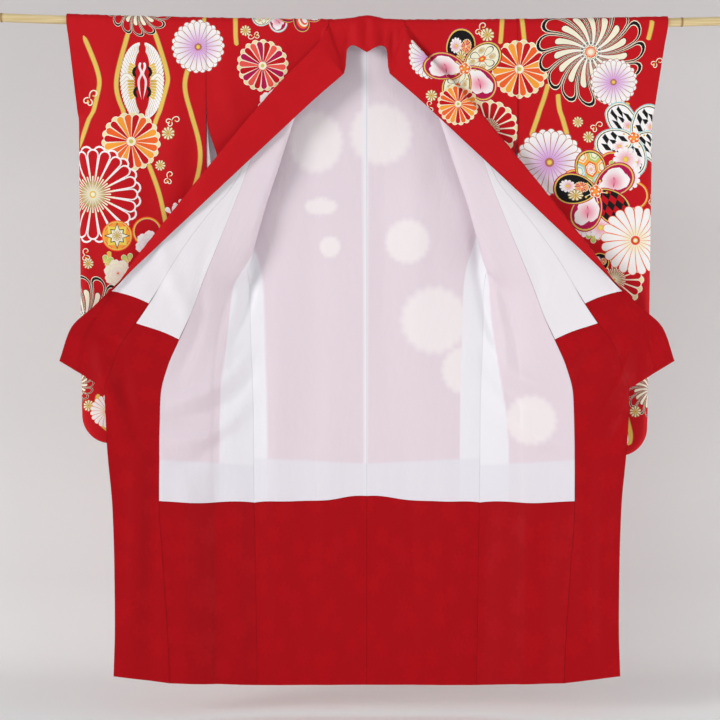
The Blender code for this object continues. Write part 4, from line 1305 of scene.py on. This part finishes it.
def cut_flat(sheet, prints, step_across):
    """Flat points, triangles and the dye of every triangle's corners."""
    columns = max(int(sheet.width / step_across), 2) + 1
    rows = max(int(sheet.length / STEP_DOWN), 2) + 1
    s = np.linspace(0, sheet.width, columns)
    t = np.linspace(0, sheet.length, rows)
    inner = [(a, b) for b in t[1:-1] for a in s[1:-1]]
    edge = [(a, 0) for a in s] + [(sheet.width, b) for b in t[1:]]
    edge += [(a, sheet.length) for a in s[-2::-1]] + [(0, b) for b in t[-2:0:-1]]
    points = [*edge, *inner]
    loops = [list(range(len(edge)))]
    for part in prints:
        outline = short_edged(part["points"])
        loops.append(list(range(len(points), len(points) + len(outline))))
        points += outline.tolist()
    edges = [(a, b) for loop in loops for a, b in zip(loop, loop[1:] + loop[:1])]
    out, _, faces, *_ = delaunay_2d_cdt([Vector(p) for p in points], edges, [], 0, 1e-6, False)
    flat = np.array([v[:] for v in out])
    triangles = np.array(faces)
    middles = flat[triangles].mean(axis=1)
    kept = np.all((middles > 0) & (middles < (sheet.width, sheet.length)), axis=1)
    triangles, middles = triangles[kept], middles[kept]
    tops = np.full(len(triangles), -1)
    order = np.argsort(middles[:, 1])
    sorted_t = middles[order, 1]
    for index, part in enumerate(prints):
        low, high = part["points"].min(axis=0), part["points"].max(axis=0)
        near = order[np.searchsorted(sorted_t, low[1]):np.searchsorted(sorted_t, high[1])]
        near = near[(middles[near, 0] > low[0]) & (middles[near, 0] < high[0])]
        tops[near[covered(part["points"], middles[near])]] = index
    corners = flat[triangles]
    turned = np.cross(corners[:, 1] - corners[:, 0], corners[:, 2] - corners[:, 0]) < 0
    triangles[turned] = triangles[turned][:, ::-1]
    ground = dict(rim="red", heart="red", centre=np.zeros(2), reach=1.0)
    layers = [ground, *prints]
    rim, heart = (np.array([DYE[layer[key]] for layer in layers])[tops + 1] for key in ("rim", "heart"))
    centre, reach = (np.array([layer[key] for layer in layers])[tops + 1] for key in ("centre", "reach"))
    distance = np.linalg.norm(flat[triangles] - centre[:, None], axis=2)
    share = ramp(0.0, 1.0, distance / reach[:, None])[..., None]
    return flat, triangles, heart[:, None] * (1 - share) + rim[:, None] * share


def grid_faces(rows, columns):
    """Two triangles for each cell of a grid of points."""
    index = np.arange(rows * columns).reshape(rows, columns)
    a, b, c, d = index[:-1, :-1], index[:-1, 1:], index[1:, 1:], index[1:, :-1]
    return np.concatenate([np.stack([a, b, c], -1).reshape(-1, 3), np.stack([a, c, d], -1).reshape(-1, 3)])


def new_object(name, points, faces):
    """A smooth mesh object in the scene."""
    mesh = bpy.data.meshes.new(name)
    mesh.from_pydata(points, [], faces)
    mesh.shade_smooth()
    made = bpy.data.objects.new(name, mesh)
    bpy.context.scene.collection.objects.link(made)
    return made


def make_piece(name, parts, nodes):
    """One mesh from parts of points, normals, flat places, triangles, corner dyes and seam distances."""
    start = 0
    triangles = []
    for part in parts:
        triangles.append(part["triangles"] + start)
        start += len(part["points"])
    points, normals, flat, seam = (np.concatenate([part[key] for part in parts])
                                   for key in ("points", "normals", "flat", "seam"))
    triangles = np.concatenate(triangles)
    dyes = np.concatenate([p["dyes"].reshape(-1, 3) for p in parts])
    corners = points[triangles]
    facing = np.cross(corners[:, 1] - corners[:, 0], corners[:, 2] - corners[:, 0])
    wrong = np.einsum("ij,ij->i", facing, normals[triangles].mean(axis=1)) < 0
    triangles[wrong] = triangles[wrong][:, ::-1]
    dyes = dyes.reshape(-1, 3, 3)
    dyes[wrong] = dyes[wrong][:, ::-1]
    piece = new_object(name, points, triangles.tolist())
    mesh = piece.data
    corner = triangles.ravel()
    rgba = np.ones((len(corner), 4))
    rgba[:, :3] = dyes.reshape(-1, 3)
    mesh.attributes.new("dye", "FLOAT_COLOR", "CORNER").data.foreach_set("color", rgba.ravel())
    mesh.attributes.new("seam", "FLOAT", "POINT").data.foreach_set("value", seam.astype(np.float32))
    mesh.uv_layers.new(name="flat").data.foreach_set("uv", flat[corner].ravel())
    mesh.normals_split_custom_set_from_vertices(normals)
    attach(piece, "root")
    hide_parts(*nodes)
    return piece


def rim_parts(sheet):
    """The cloth's turned edge: a strip from the outer face to the lining along each side."""
    parts = []
    rows, columns = sheet.points.shape[:2]
    for where in (np.s_[0, :], np.s_[rows - 1, :], np.s_[:, 0], np.s_[:, columns - 1]):
        line, out = sheet.points[where], sheet.normals[where]
        step = max(len(line) // 110, 1)
        line, out = line[::step], out[::step]
        aside = unit(np.cross(np.gradient(line, axis=0), out))
        inward = sheet.points[rows // 2, columns // 2] - line
        aside *= -np.sign(np.einsum("ij,ij->i", aside, inward))[:, None]
        points = np.stack([line + out * CLOTH_OUT, line - out * LINING_IN]).reshape(-1, 3)
        triangles = grid_faces(2, len(line))
        parts.append(dict(points=points, normals=np.concatenate([aside, aside]), triangles=triangles,
                          flat=np.zeros((len(points), 2)), seam=np.full(len(points), 0.05),
                          dyes=np.broadcast_to(DYE["red"], (len(triangles) * 3, 3))))
    return parts


def seam_distance(sheet, s):
    """How far a flat place lies from the nearer long edge."""
    return np.minimum(s, sheet.width - s)


def outer_part(name, sheet, step_across):
    """The printed cloth over a whole sheet."""
    flat, triangles, dyes = cut_flat(sheet, prints_for(name, sheet), step_across)
    normals = unit(sheet.place(sheet.normals, flat[:, 0], flat[:, 1]))
    points = sheet.place(sheet.points, flat[:, 0], flat[:, 1]) + normals * CLOTH_OUT
    used, back = np.unique(triangles, return_inverse=True)
    return dict(points=points[used], normals=normals[used], flat=flat[used],
                seam=seam_distance(sheet, flat[used, 0]), triangles=back.reshape(-1, 3), dyes=dyes)


# %% The outer cloth
CREPE = {}
begin = time.time()
for name, sheets in SHEETS.items():
    folded = name.startswith(("front", "collar", "okumi"))
    step = CLOSE_STEP_ACROSS if folded else STEP_ACROSS
    parts = [part for sheet in sheets for part in (outer_part(name, sheet, step), *rim_parts(sheet))]
    CREPE[name] = make_piece(f"crepe_{name}", parts, [name])
    print(name, len(CREPE[name].data.polygons), "triangles", round(time.time() - begin, 1), "s")

# %% [markdown]
# ## The linings
# Plain white silk lines the upper body and the sleeves. It is lined thinly over the red print, so
# it looks pale lilac, with ghosts of the largest motifs, and whiter along the seams, where the
# turned-in cloth lies double. Its lower edge is folded up in a tuck that hangs over the deep red
# lining of the hem.

# %% Linings
SILK = {name: linear(code) for name, code in {
    "lilac white": "#E8D9E1",
    "seam white": "#F1EFF4",
    "tuck white": "#E9E7EE",
    "gore white": "#EDE9ED",
    "ghost": "#F8F1F1",
    "hem red": "#A80A14",
}.items()}
GHOSTS = (  # x, drop, radius across, radius down (cm): pale motifs that show through the lining
    (3.3, 26.6, 7.5, 7.5), (9.6, 51.9, 5.4, 5.4), (16.0, 70.5, 8.2, 8.2), (-8.7, 53.1, 2.6, 2.6),
    (-10.8, 43.7, 4.0, 2.1), (-12.0, 28.5, 6.5, 7.5), (23.5, 82.3, 6.0, 6.0), (38.3, 94.0, 6.0, 6.0),
)
STRIPS = {  # double cloth's width (cm) at the centre back and at the side line, its share at the top
    "back_right": (1.0, 4.5, 1.0),
    "back_left": (0.4, 6.3, 1.0),
    "front_right": (0.0, 8.5, 0.9),
    "front_left": (0.0, 7.2, 0.3),
}
WHITE_ENDS = {  # section where the white lining ends on each sheet
    "back": 1 + WHITE_LINING_END * FINE,
    "front": 7 + WHITE_LINING_END * FINE,
    "okumi": (GORE_LINING_END - GORE_START) * FINE,
    "collar": (len(NECK) - 1) * FINE + 1 + COLLAR_LINING_END * FINE,
}
TUCK = 0.095  # depth of the folded-up tuck at the white lining's lower edge
TUCK_RISE = 0.0016  # how far the tuck stands off
TUCK_LAP = 0.012  # how far the red lining runs up under it
LINING_STEP = 0.008  # metres between the lining's rows of points


def white_dyes(name, sheet, points, s, t, end):
    """The white lining's colour at each point."""
    kind = name.split("_")[0]
    base = SILK["gore white"] if kind in ("okumi", "collar") else SILK["lilac white"]
    dyes = np.tile(base, (len(points), 1))
    x, drop = points[:, 0] / CM, -points[:, 2] / CM
    if kind in ("back", "front"):
        pale = np.zeros(len(points))
        for gx, gd, across, down in GHOSTS:
            distance = np.hypot((x - gx) / across, (drop - gd) / down)
            petals = 1 + 0.03 * np.cos(18 * np.arctan2(x - gx, drop - gd))
            pale = np.maximum(pale, ramp(1.08, 0.82, distance * petals))
        dyes += (SILK["ghost"] - dyes) * (0.75 * pale)[:, None]
    white = np.zeros(len(points))
    near, far, top = STRIPS.get(name, (0, 0, 1))
    share = top + (1 - top) * ramp(55, 105, drop)
    for width, distance in ((near, s), (far, sheet.width - s)):
        if kind == "front":
            distance = sheet.width - distance
        if width:
            edge = width * CM * share
            white = np.maximum(white, ramp(edge + 0.0015, edge - 0.0015, distance))
    dyes += (SILK["seam white"] - dyes) * white[:, None]
    if kind in ("back", "front"):
        tuck = ramp(end - TUCK - 0.001, end - TUCK + 0.001, t)
        dyes += (SILK["tuck white"] - dyes) * (0.8 * tuck)[:, None]
    return dyes


def lining_part(name, sheet, first, last, white, tucked):
    """A lining over flat lengths from first to last."""
    columns = sheet.points.shape[1]
    rows = max(int((last - first) / LINING_STEP), 2) + 1
    s, t = np.meshgrid(np.linspace(0, sheet.width, columns), np.linspace(first, last, rows))
    s, t = s.ravel(), t.ravel()
    normals = unit(sheet.place(sheet.normals, s, t))
    lift = np.full(len(s), LINING_IN)
    if tucked:
        lift += TUCK_RISE * ramp(last - TUCK, last, t)
    points = sheet.place(sheet.points, s, t) - normals * lift[:, None]
    if tucked:
        wave = 0.0026 * np.sin(s * 23 + 0.8) + 0.0010 * np.sin(s * 41)
        points[:, 2] += wave * ramp(last - 0.07, last, t)
    if white:
        dyes = white_dyes(name, sheet, points, s, t, last if tucked else FAR)
    else:
        dyes = np.tile(SILK["hem red"], (len(points), 1))
    triangles = grid_faces(rows, columns)
    return dict(points=points, normals=-normals, flat=np.stack([s, t], axis=1), triangles=triangles,
                seam=seam_distance(sheet, s), dyes=dyes[triangles])


LINING_NODES = {
    "back": ("back_lining", "back_hem_lining"),
    "front": ("front_lining", "front_hem_lining"),
    "okumi": ("okumi_lining", "okumi_hem_lining"),
    "collar": ("collar_lining", "collar_end_lining"),
}
WHITE_SILK, RED_SILK = {}, {}
for name, sheets in SHEETS.items():
    side = name.rsplit("_", 1)[1]
    main = sheets[-1]
    if name.startswith("sleeve"):
        node = name.replace("sleeve_", "sleeve_lining_")
        parts = [lining_part(name, main, 0, main.length, True, False)]
        WHITE_SILK[node] = make_piece(f"silk_{node}", parts, [node])
        continue
    kind = name.split("_")[0]
    end = float(main.stops[WHITE_ENDS[kind]])
    parts = [lining_part(name, sheet, 0, sheet.length, True, False) for sheet in sheets[:-1]]
    parts.append(lining_part(name, main, 0, end, True, True))
    upper, lower = (f"{node}_{side}" for node in LINING_NODES[kind])
    WHITE_SILK[upper] = make_piece(f"silk_{upper}", parts, [upper])
    parts = [lining_part(name, main, end - TUCK_LAP, main.length, False, False)]
    RED_SILK[lower] = make_piece(f"silk_{lower}", parts, [lower])
print(len(WHITE_SILK), "white linings,", len(RED_SILK), "red ones")

# %% [markdown]
# ## The pole
# A bare bamboo pole, 21 mm thick, bends a little under the silk. Bamboo has a raised ring at each
# joint, with a shallow groove beside it.

# %% Bamboo pole
JOINTS = (-0.858, -0.405, 0.035, 0.405, 0.740)


def joint_bulge(x):
    """The ring at each joint, and the shallow groove beside it."""
    bulge = 0.0
    for joint in JOINTS:
        bulge += 0.0008 * math.exp(-((x - joint) / 0.0035) ** 2)
        bulge -= 0.0004 * math.exp(-((x - joint - 0.0065) / 0.0022) ** 2)
    return bulge


SIDES = 28
stations = sorted({round(x, 4) for x in np.linspace(-POLE_LENGTH / 2, POLE_LENGTH / 2, 96)}
                  | {round(joint + k * 0.001, 4) for joint in JOINTS for k in range(-8, 13)})
points, joints = [], []
for x in stations:
    radius = POLE_RADIUS - 0.0002 + joint_bulge(x)
    for k in range(SIDES):
        turn = 2 * math.pi * k / SIDES
        points.append((x, radius * math.cos(turn), radius * math.sin(turn) - float(pole_sag(x))))
        joints.append(min(abs(x - joint) for joint in JOINTS))
last = (len(stations) - 1) * SIDES
faces = [(a + k, a + (k + 1) % SIDES, a + SIDES + (k + 1) % SIDES, a + SIDES + k)
         for a in range(0, last, SIDES) for k in range(SIDES)]
faces += [tuple(range(SIDES))[::-1], tuple(range(last, last + SIDES))]
pole = new_object("bamboo_pole", points, [face[::-1] for face in faces])
for face in list(pole.data.polygons)[-2:]:
    face.use_smooth = False
pole.data.attributes.new("joint", "FLOAT", "POINT").data.foreach_set("value", joints)
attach(pole, "root")
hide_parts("pole")
print("pole:", len(pole.data.polygons), "faces")

# %% [markdown]
# ## Finishes
# Each finish is a procedural material named for the real one. One small function adds a node with
# its settings and links.

# %% Node helper
def add(tree, kind, inputs=(), **settings):
    """Adds a node; inputs is a list of (socket, value or output to link)."""
    node = tree.nodes.new(kind)
    for key, value in settings.items():
        setattr(node, key, value)
    for socket, value in inputs:
        if isinstance(value, bpy.types.NodeSocket):
            tree.links.new(value, node.inputs[socket])
        else:
            node.inputs[socket].default_value = value
    return node


def new_finish(name, **constants):
    """A material with a principled shader and its fixed values."""
    material = bpy.data.materials.new(name)
    material.use_nodes = True
    shader = material.node_tree.nodes["Principled BSDF"]
    for socket, value in constants.items():
        shader.inputs[socket].default_value = value
    return material, material.node_tree, shader


def cloth_marks(tree):
    """A cloth's flat places, its dye, and how far it is from a seam."""
    flat = add(tree, "ShaderNodeUVMap", uv_map="flat").outputs[0]
    dye = add(tree, "ShaderNodeAttribute", attribute_name="dye").outputs["Color"]
    seam = add(tree, "ShaderNodeAttribute", attribute_name="seam").outputs["Fac"]
    return flat, dye, seam


def seam_groove_and_shade(tree, seam, width, dark):
    """1 on plain cloth, falling to dark in the stitched seam's groove: the groove's depth, and painted shade
    for the shadow that lies in it.
    """
    return add(tree, "ShaderNodeMapRange", [("Value", seam), ("From Min", 0.0), ("From Max", width),
                                            ("To Min", dark), ("To Max", 1.0)]).outputs[0]


def dyed(tree, shader, dye, shade, groove_depth_and_shade):
    """Gives the shader the dye, shaded by the weave and darkened in the seams by painted shade."""
    tone = add(tree, "ShaderNodeMath", [(0, shade), (1, groove_depth_and_shade)], operation="MULTIPLY")
    colour = add(tree, "ShaderNodeVectorMath", [(0, dye), ("Scale", tone.outputs[0])], operation="SCALE")
    tree.links.new(colour.outputs[0], shader.inputs["Base Color"])

# %% [markdown]
# The outer cloth is chirimen, a crepe whose hard-twisted weft shrinks into a fine irregular pebble
# about 1.5 mm across. The pebble scatters the light, so the crepe is matt with a soft sheen. Hand
# dye takes unevenly by a few per cent.

# %% Printed crepe
crepe, tree, shader = new_finish("dyed_chirimen_crepe", **{
    "IOR": 1.54,  # silk
    "Specular IOR Level": 0.07,
    "Sheen Weight": 0.01,
    "Sheen Roughness": 0.45,
})
flat, dye, seam = cloth_marks(tree)
pebble = add(tree, "ShaderNodeTexNoise", [("Vector", flat), ("Scale", 650.0), ("Detail", 2.0),
                                          ("Roughness", 0.6)])
uneven = add(tree, "ShaderNodeTexNoise", [("Vector", flat), ("Scale", 14.0), ("Detail", 3.0)])
grain = add(tree, "ShaderNodeMapRange", [("Value", pebble.outputs[0]), ("From Min", 0.25),
                                         ("From Max", 0.75), ("To Min", 0.93), ("To Max", 1.06)])
cloud = add(tree, "ShaderNodeMapRange", [("Value", uneven.outputs[0]), ("From Min", 0.3), ("From Max", 0.7),
                                         ("To Min", 0.96), ("To Max", 1.03)])
shade = add(tree, "ShaderNodeMath", [(0, grain.outputs[0]), (1, cloud.outputs[0])], operation="MULTIPLY")
# painted shade: the crepe's colour darkens to 0.72 along the seam grooves; the same ramp also lowers the
# bump there
groove_depth_and_shade = seam_groove_and_shade(tree, seam, 0.0022, 0.72)
dyed(tree, shader, dye, shade.outputs[0], groove_depth_and_shade)
rough = add(tree, "ShaderNodeMapRange", [("Value", pebble.outputs[0]), ("From Min", 0.3), ("From Max", 0.7),
                                         ("To Min", 0.52), ("To Max", 0.66)])
tree.links.new(rough.outputs[0], shader.inputs["Roughness"])
relief = add(tree, "ShaderNodeMath", [(0, pebble.outputs[0]), (1, groove_depth_and_shade)], operation="MULTIPLY")
bump = add(tree, "ShaderNodeBump", [("Height", relief.outputs[0]), ("Strength", 0.35), ("Distance", 0.0006)])
tree.links.new(bump.outputs[0], shader.inputs["Normal"])
print(crepe.name)

# %% [markdown]
# The white lining is habutae, a plain weave of untwisted silk: smooth, with a low gloss. Stored
# folded, it keeps faint soft wrinkles. Its threads are about 0.2 mm; they are drawn at 0.8 mm here,
# so that they show at all from a few steps away.

# %% White lining silk
white_silk, tree, shader = new_finish("habutae_lining_silk", **{
    "IOR": 1.54,  # silk
    "Specular IOR Level": 0.30,
    "Sheen Weight": 0.05,
    "Sheen Roughness": 0.40,
})
flat, dye, seam = cloth_marks(tree)
long_way = add(tree, "ShaderNodeMapping", [("Vector", flat), ("Scale", (1.0, 0.35, 1.0))])
wrinkle = add(tree, "ShaderNodeTexNoise", [("Vector", long_way.outputs[0]), ("Scale", 34.0), ("Detail", 4.0),
                                           ("Roughness", 0.55), ("Distortion", 0.6)])
thread = add(tree, "ShaderNodeTexNoise", [("Vector", flat), ("Scale", 1250.0), ("Detail", 1.0)])
grain = add(tree, "ShaderNodeMapRange", [("Value", thread.outputs[0]), ("From Min", 0.3), ("From Max", 0.7),
                                         ("To Min", 0.985), ("To Max", 1.01)])
# painted shade: the lining's colour darkens to 0.80 along the seam grooves
dyed(tree, shader, dye, grain.outputs[0], seam_groove_and_shade(tree, seam, 0.0020, 0.80))
rough = add(tree, "ShaderNodeMapRange", [("Value", wrinkle.outputs[0]), ("To Min", 0.42), ("To Max", 0.56)])
tree.links.new(rough.outputs[0], shader.inputs["Roughness"])
fine = add(tree, "ShaderNodeBump", [("Height", thread.outputs[0]), ("Strength", 0.15), ("Distance", 0.0003)])
soft = add(tree, "ShaderNodeBump", [("Height", wrinkle.outputs[0]), ("Strength", 0.55), ("Distance", 0.003),
                                    ("Normal", fine.outputs[0])])
tree.links.new(soft.outputs[0], shader.inputs["Normal"])
print(white_silk.name)

# %% [markdown]
# The hem's lining is a deep red figured silk. Its flowers are woven, not dyed: satin weave against
# plain weave, so they differ from the ground mainly in gloss and only a little in tone. Each flower
# is a many-petalled rosette about 5 cm across, placed by scattered cells.

# %% Red figured silk
red_silk, tree, shader = new_finish("figured_red_silk", **{
    "IOR": 1.54,  # silk
    "Specular IOR Level": 0.06,
    "Sheen Weight": 0.01,
    "Sheen Roughness": 0.40,
})
flat, dye, seam = cloth_marks(tree)
FIGURES = 15.0  # woven flowers to a metre
cells = add(tree, "ShaderNodeTexVoronoi", [("Vector", flat), ("Scale", FIGURES), ("Randomness", 0.85)],
            voronoi_dimensions="2D")
middle = cells.outputs["Position"]
places = [add(tree, "ShaderNodeVectorMath", [(0, place), ("Scale", FIGURES)], operation="SCALE").outputs[0]
          for place in (flat, middle)]
spoke = add(tree, "ShaderNodeVectorMath", [(0, places[0]), (1, places[1])], operation="SUBTRACT")
parts = add(tree, "ShaderNodeSeparateXYZ", [(0, spoke.outputs[0])])
angle = add(tree, "ShaderNodeMath", [(0, parts.outputs[1]), (1, parts.outputs[0])], operation="ARCTAN2")
lobes = add(tree, "ShaderNodeMath", [(0, angle.outputs[0]), (1, 4.0)], operation="MULTIPLY")
wave = add(tree, "ShaderNodeMath", [(0, lobes.outputs[0])], operation="COSINE")
lobed = add(tree, "ShaderNodeMath", [(0, wave.outputs[0])], operation="ABSOLUTE")
tip = add(tree, "ShaderNodeMapRange", [("Value", lobed.outputs[0]), ("To Min", 0.22), ("To Max", 0.40)])
far = add(tree, "ShaderNodeVectorMath", [(0, spoke.outputs[0])], operation="LENGTH")
inside = add(tree, "ShaderNodeMath", [(0, tip.outputs[0]), (1, far.outputs["Value"])], operation="SUBTRACT")
flower = add(tree, "ShaderNodeMapRange", [("Value", inside.outputs[0]), ("From Min", -0.015),
                                          ("From Max", 0.015)])
light = add(tree, "ShaderNodeMapRange", [("Value", flower.outputs[0]), ("To Min", 1.0), ("To Max", 1.07)])
# painted shade: the red silk's colour darkens to 0.72 along the seam grooves
dyed(tree, shader, dye, light.outputs[0], seam_groove_and_shade(tree, seam, 0.0022, 0.72))
rough = add(tree, "ShaderNodeMapRange", [("Value", flower.outputs[0]), ("To Min", 0.56), ("To Max", 0.46)])
tree.links.new(rough.outputs[0], shader.inputs["Roughness"])
thread = add(tree, "ShaderNodeTexNoise", [("Vector", flat), ("Scale", 1100.0), ("Detail", 1.0)])
bump = add(tree, "ShaderNodeBump", [("Height", thread.outputs[0]), ("Strength", 0.2), ("Distance", 0.0003)])
tree.links.new(bump.outputs[0], shader.inputs["Normal"])
print(red_silk.name)

# %% [markdown]
# Bamboo skin is hard and satin, straw yellow with faint lengthwise streaks and a brown line in each
# joint.

# %% Bamboo
bamboo, tree, shader = new_finish("dried_bamboo", **{
    "IOR": 1.50,
    "Specular IOR Level": 0.45,
})
place = add(tree, "ShaderNodeTexCoord").outputs["Object"]
joint = add(tree, "ShaderNodeAttribute", attribute_name="joint").outputs["Fac"]
stretched = add(tree, "ShaderNodeMapping", [("Vector", place), ("Scale", (6.0, 260.0, 260.0))])
streak = add(tree, "ShaderNodeTexNoise", [("Vector", stretched.outputs[0]), ("Scale", 1.0), ("Detail", 4.0)])
straw = add(tree, "ShaderNodeValToRGB", [("Fac", streak.outputs[0])])
for element, spot, tone in zip(straw.color_ramp.elements, (0.3, 0.7), ("#C9AE78", "#E6D3A4")):
    element.position = spot
    element.color = (*linear(tone), 1)
ring = add(tree, "ShaderNodeMapRange", [("Value", joint), ("From Min", 0.0008), ("From Max", 0.0045)])
line = (*linear("#9A7B4C"), 1)
brown = add(tree, "ShaderNodeMix", [(0, ring.outputs[0]), (6, line), (7, straw.outputs[0])],
            data_type="RGBA")
tree.links.new(brown.outputs[2], shader.inputs["Base Color"])
rough = add(tree, "ShaderNodeMapRange", [("Value", streak.outputs[0]), ("To Min", 0.30), ("To Max", 0.48)])
tree.links.new(rough.outputs[0], shader.inputs["Roughness"])
bump = add(tree, "ShaderNodeBump", [("Height", streak.outputs[0]), ("Strength", 0.2), ("Distance", 0.0003)])
tree.links.new(bump.outputs[0], shader.inputs["Normal"])
print(bamboo.name)

# %% Dressing the pieces
for pieces, material, slot in ((CREPE, crepe, "crepe"), (WHITE_SILK, white_silk, "white_silk"),
                               (RED_SILK, red_silk, "red_silk"), ({"pole": pole}, bamboo, "bamboo")):
    for piece in pieces.values():
        piece.data.materials.append(material)
print("dressed", len(CREPE) + len(WHITE_SILK) + len(RED_SILK) + 1, "pieces")

# %% [markdown]
# ## What each sheet was cut as
# Every panel is a strip of narrow silk, about 37 cm wide off the loom, with its spare width turned
# in at the seams. The width and length below are those of the cloth that shows, as the tables give
# it, and the area is less where a panel narrows towards its hem.

# %% The sheets' sizes
def declare(width, length):
    """Rounds the width and length to the millimetre, and does nothing more with them."""
    width, length = round(width, 3), round(length, 3)


for name, piece in CREPE.items():
    main = SHEETS[name][-1]
    length = sum(sheet.length for sheet in SHEETS[name])
    side = name.rsplit("_", 1)[1]
    declare(main.width, length)
for name, piece in {**WHITE_SILK, **RED_SILK}.items():
    side = name.rsplit("_", 1)[1]
    kind = name.split("_")[0]
    sheet_name = name.replace("lining_", "") if kind == "sleeve" else f"{kind}_{side}"
    sheets = SHEETS[sheet_name]
    end = float(sheets[-1].stops[WHITE_ENDS[kind]]) if kind in WHITE_ENDS else sheets[-1].length
    if name in WHITE_SILK:
        length = sum(sheet.length for sheet in sheets[:-1]) + end
    else:
        length = sheets[-1].length - end + TUCK_LAP
    declare(sheets[-1].width, length)

# %% [markdown]
# ## The room
# A seamless pale backdrop curves from the wall into the floor. Two large soft lights stand beside
# the camera, the brighter one on the left, two small ones even out the wall, and the pale room
# fills the shadows. The wall stands close behind the pole, to catch that light, so it hides the
# garment from behind: to look there, move the wall further back.

# %% Backdrop
FLOOR = -1.635
WALL = 0.95
BEND = 0.5  # radius of the curve between them
BEND_STEPS = 12
profile = [(-9.0, FLOOR)]
for k in range(BEND_STEPS + 1):
    turn = math.pi / 2 * k / BEND_STEPS
    profile.append((WALL - BEND + BEND * math.sin(turn), FLOOR + BEND - BEND * math.cos(turn)))
profile.append((WALL, 3.0))
points = [(x, y, z) for y, z in profile for x in (-7.0, 7.0)]
faces = [(2 * k, 2 * k + 1, 2 * k + 3, 2 * k + 2) for k in range(len(profile) - 1)]
backdrop = new_object("backdrop", points, faces)
paper, tree, shader = new_finish("matt_backdrop_paper", **{"Roughness": 0.9, "Specular IOR Level": 0.1})
# painted light and shade: the paper's colour runs from lighter on the floor to darker at the top of the
# wall, standing in for the fall of the light
place = add(tree, "ShaderNodeTexCoord").outputs["Object"]
height = add(tree, "ShaderNodeSeparateXYZ", [("Vector", place)])
share = add(tree, "ShaderNodeMapRange", [("Value", height.outputs["Z"]), ("From Min", -1.6),
                                         ("From Max", 0.2)])
pale = add(tree, "ShaderNodeValToRGB", [("Fac", share.outputs[0])])
for spot, tone in ((0.10, "#E8E7E7"), (0.38, "#DFDEDE"), (0.72, "#DDDBDB")):
    pale.color_ramp.elements.new(spot).color = (*linear(tone), 1)
pale.color_ramp.elements[0].color = (*linear("#F6F6F6"), 1)
pale.color_ramp.elements[-1].color = (*linear("#CDCACA"), 1)
tree.links.new(pale.outputs[0], shader.inputs["Base Color"])
backdrop.data.materials.append(paper)
print("backdrop:", len(backdrop.data.polygons), "faces")

# %% Lights and camera
def soft_light(name, place, target, size, power):
    """A round soft light that faces a target."""
    light = bpy.data.lights.new(name, "AREA")
    light.shape = "DISK"
    light.size = size
    light.energy = power
    holder = bpy.data.objects.new(name, light)
    holder.location = place
    holder.rotation_euler = (Vector(target) - Vector(place)).to_track_quat("-Z", "Y").to_euler()
    bpy.context.scene.collection.objects.link(holder)


soft_light("key", (-7.0, -6.0, 1.2), (-0.1, 0.0, -0.9), 3.6, 412.0)
soft_light("fill", (4.6, -8.4, -0.4), (0.1, 0.0, -0.9), 4.0, 90.0)
soft_light("wall_left", (-2.9, -0.9, -1.0), (-0.9, 0.95, -0.9), 1.4, 1.0)
soft_light("wall_right", (2.9, -0.9, -1.0), (0.9, 0.95, -0.9), 1.4, 26.0)
room = bpy.data.worlds.new("pale_room")
room.use_nodes = True
glow = room.node_tree.nodes["Background"].inputs
glow["Color"].default_value = (0.98, 0.99, 1.0, 1)
glow["Strength"].default_value = 0.42
bpy.context.scene.world = room
bpy.context.scene.view_settings.view_transform = "Standard"

lens = bpy.data.cameras.new("camera")
lens.lens = 85.1
lens.sensor_width = 36.0
camera = bpy.data.objects.new("camera", lens)
camera.location = (-0.016, -4.0, -0.799)
camera.rotation_euler = (math.pi / 2, 0, 0)
bpy.context.scene.collection.objects.link(camera)
bpy.context.scene.camera = camera
print("camera at", tuple(camera.location))
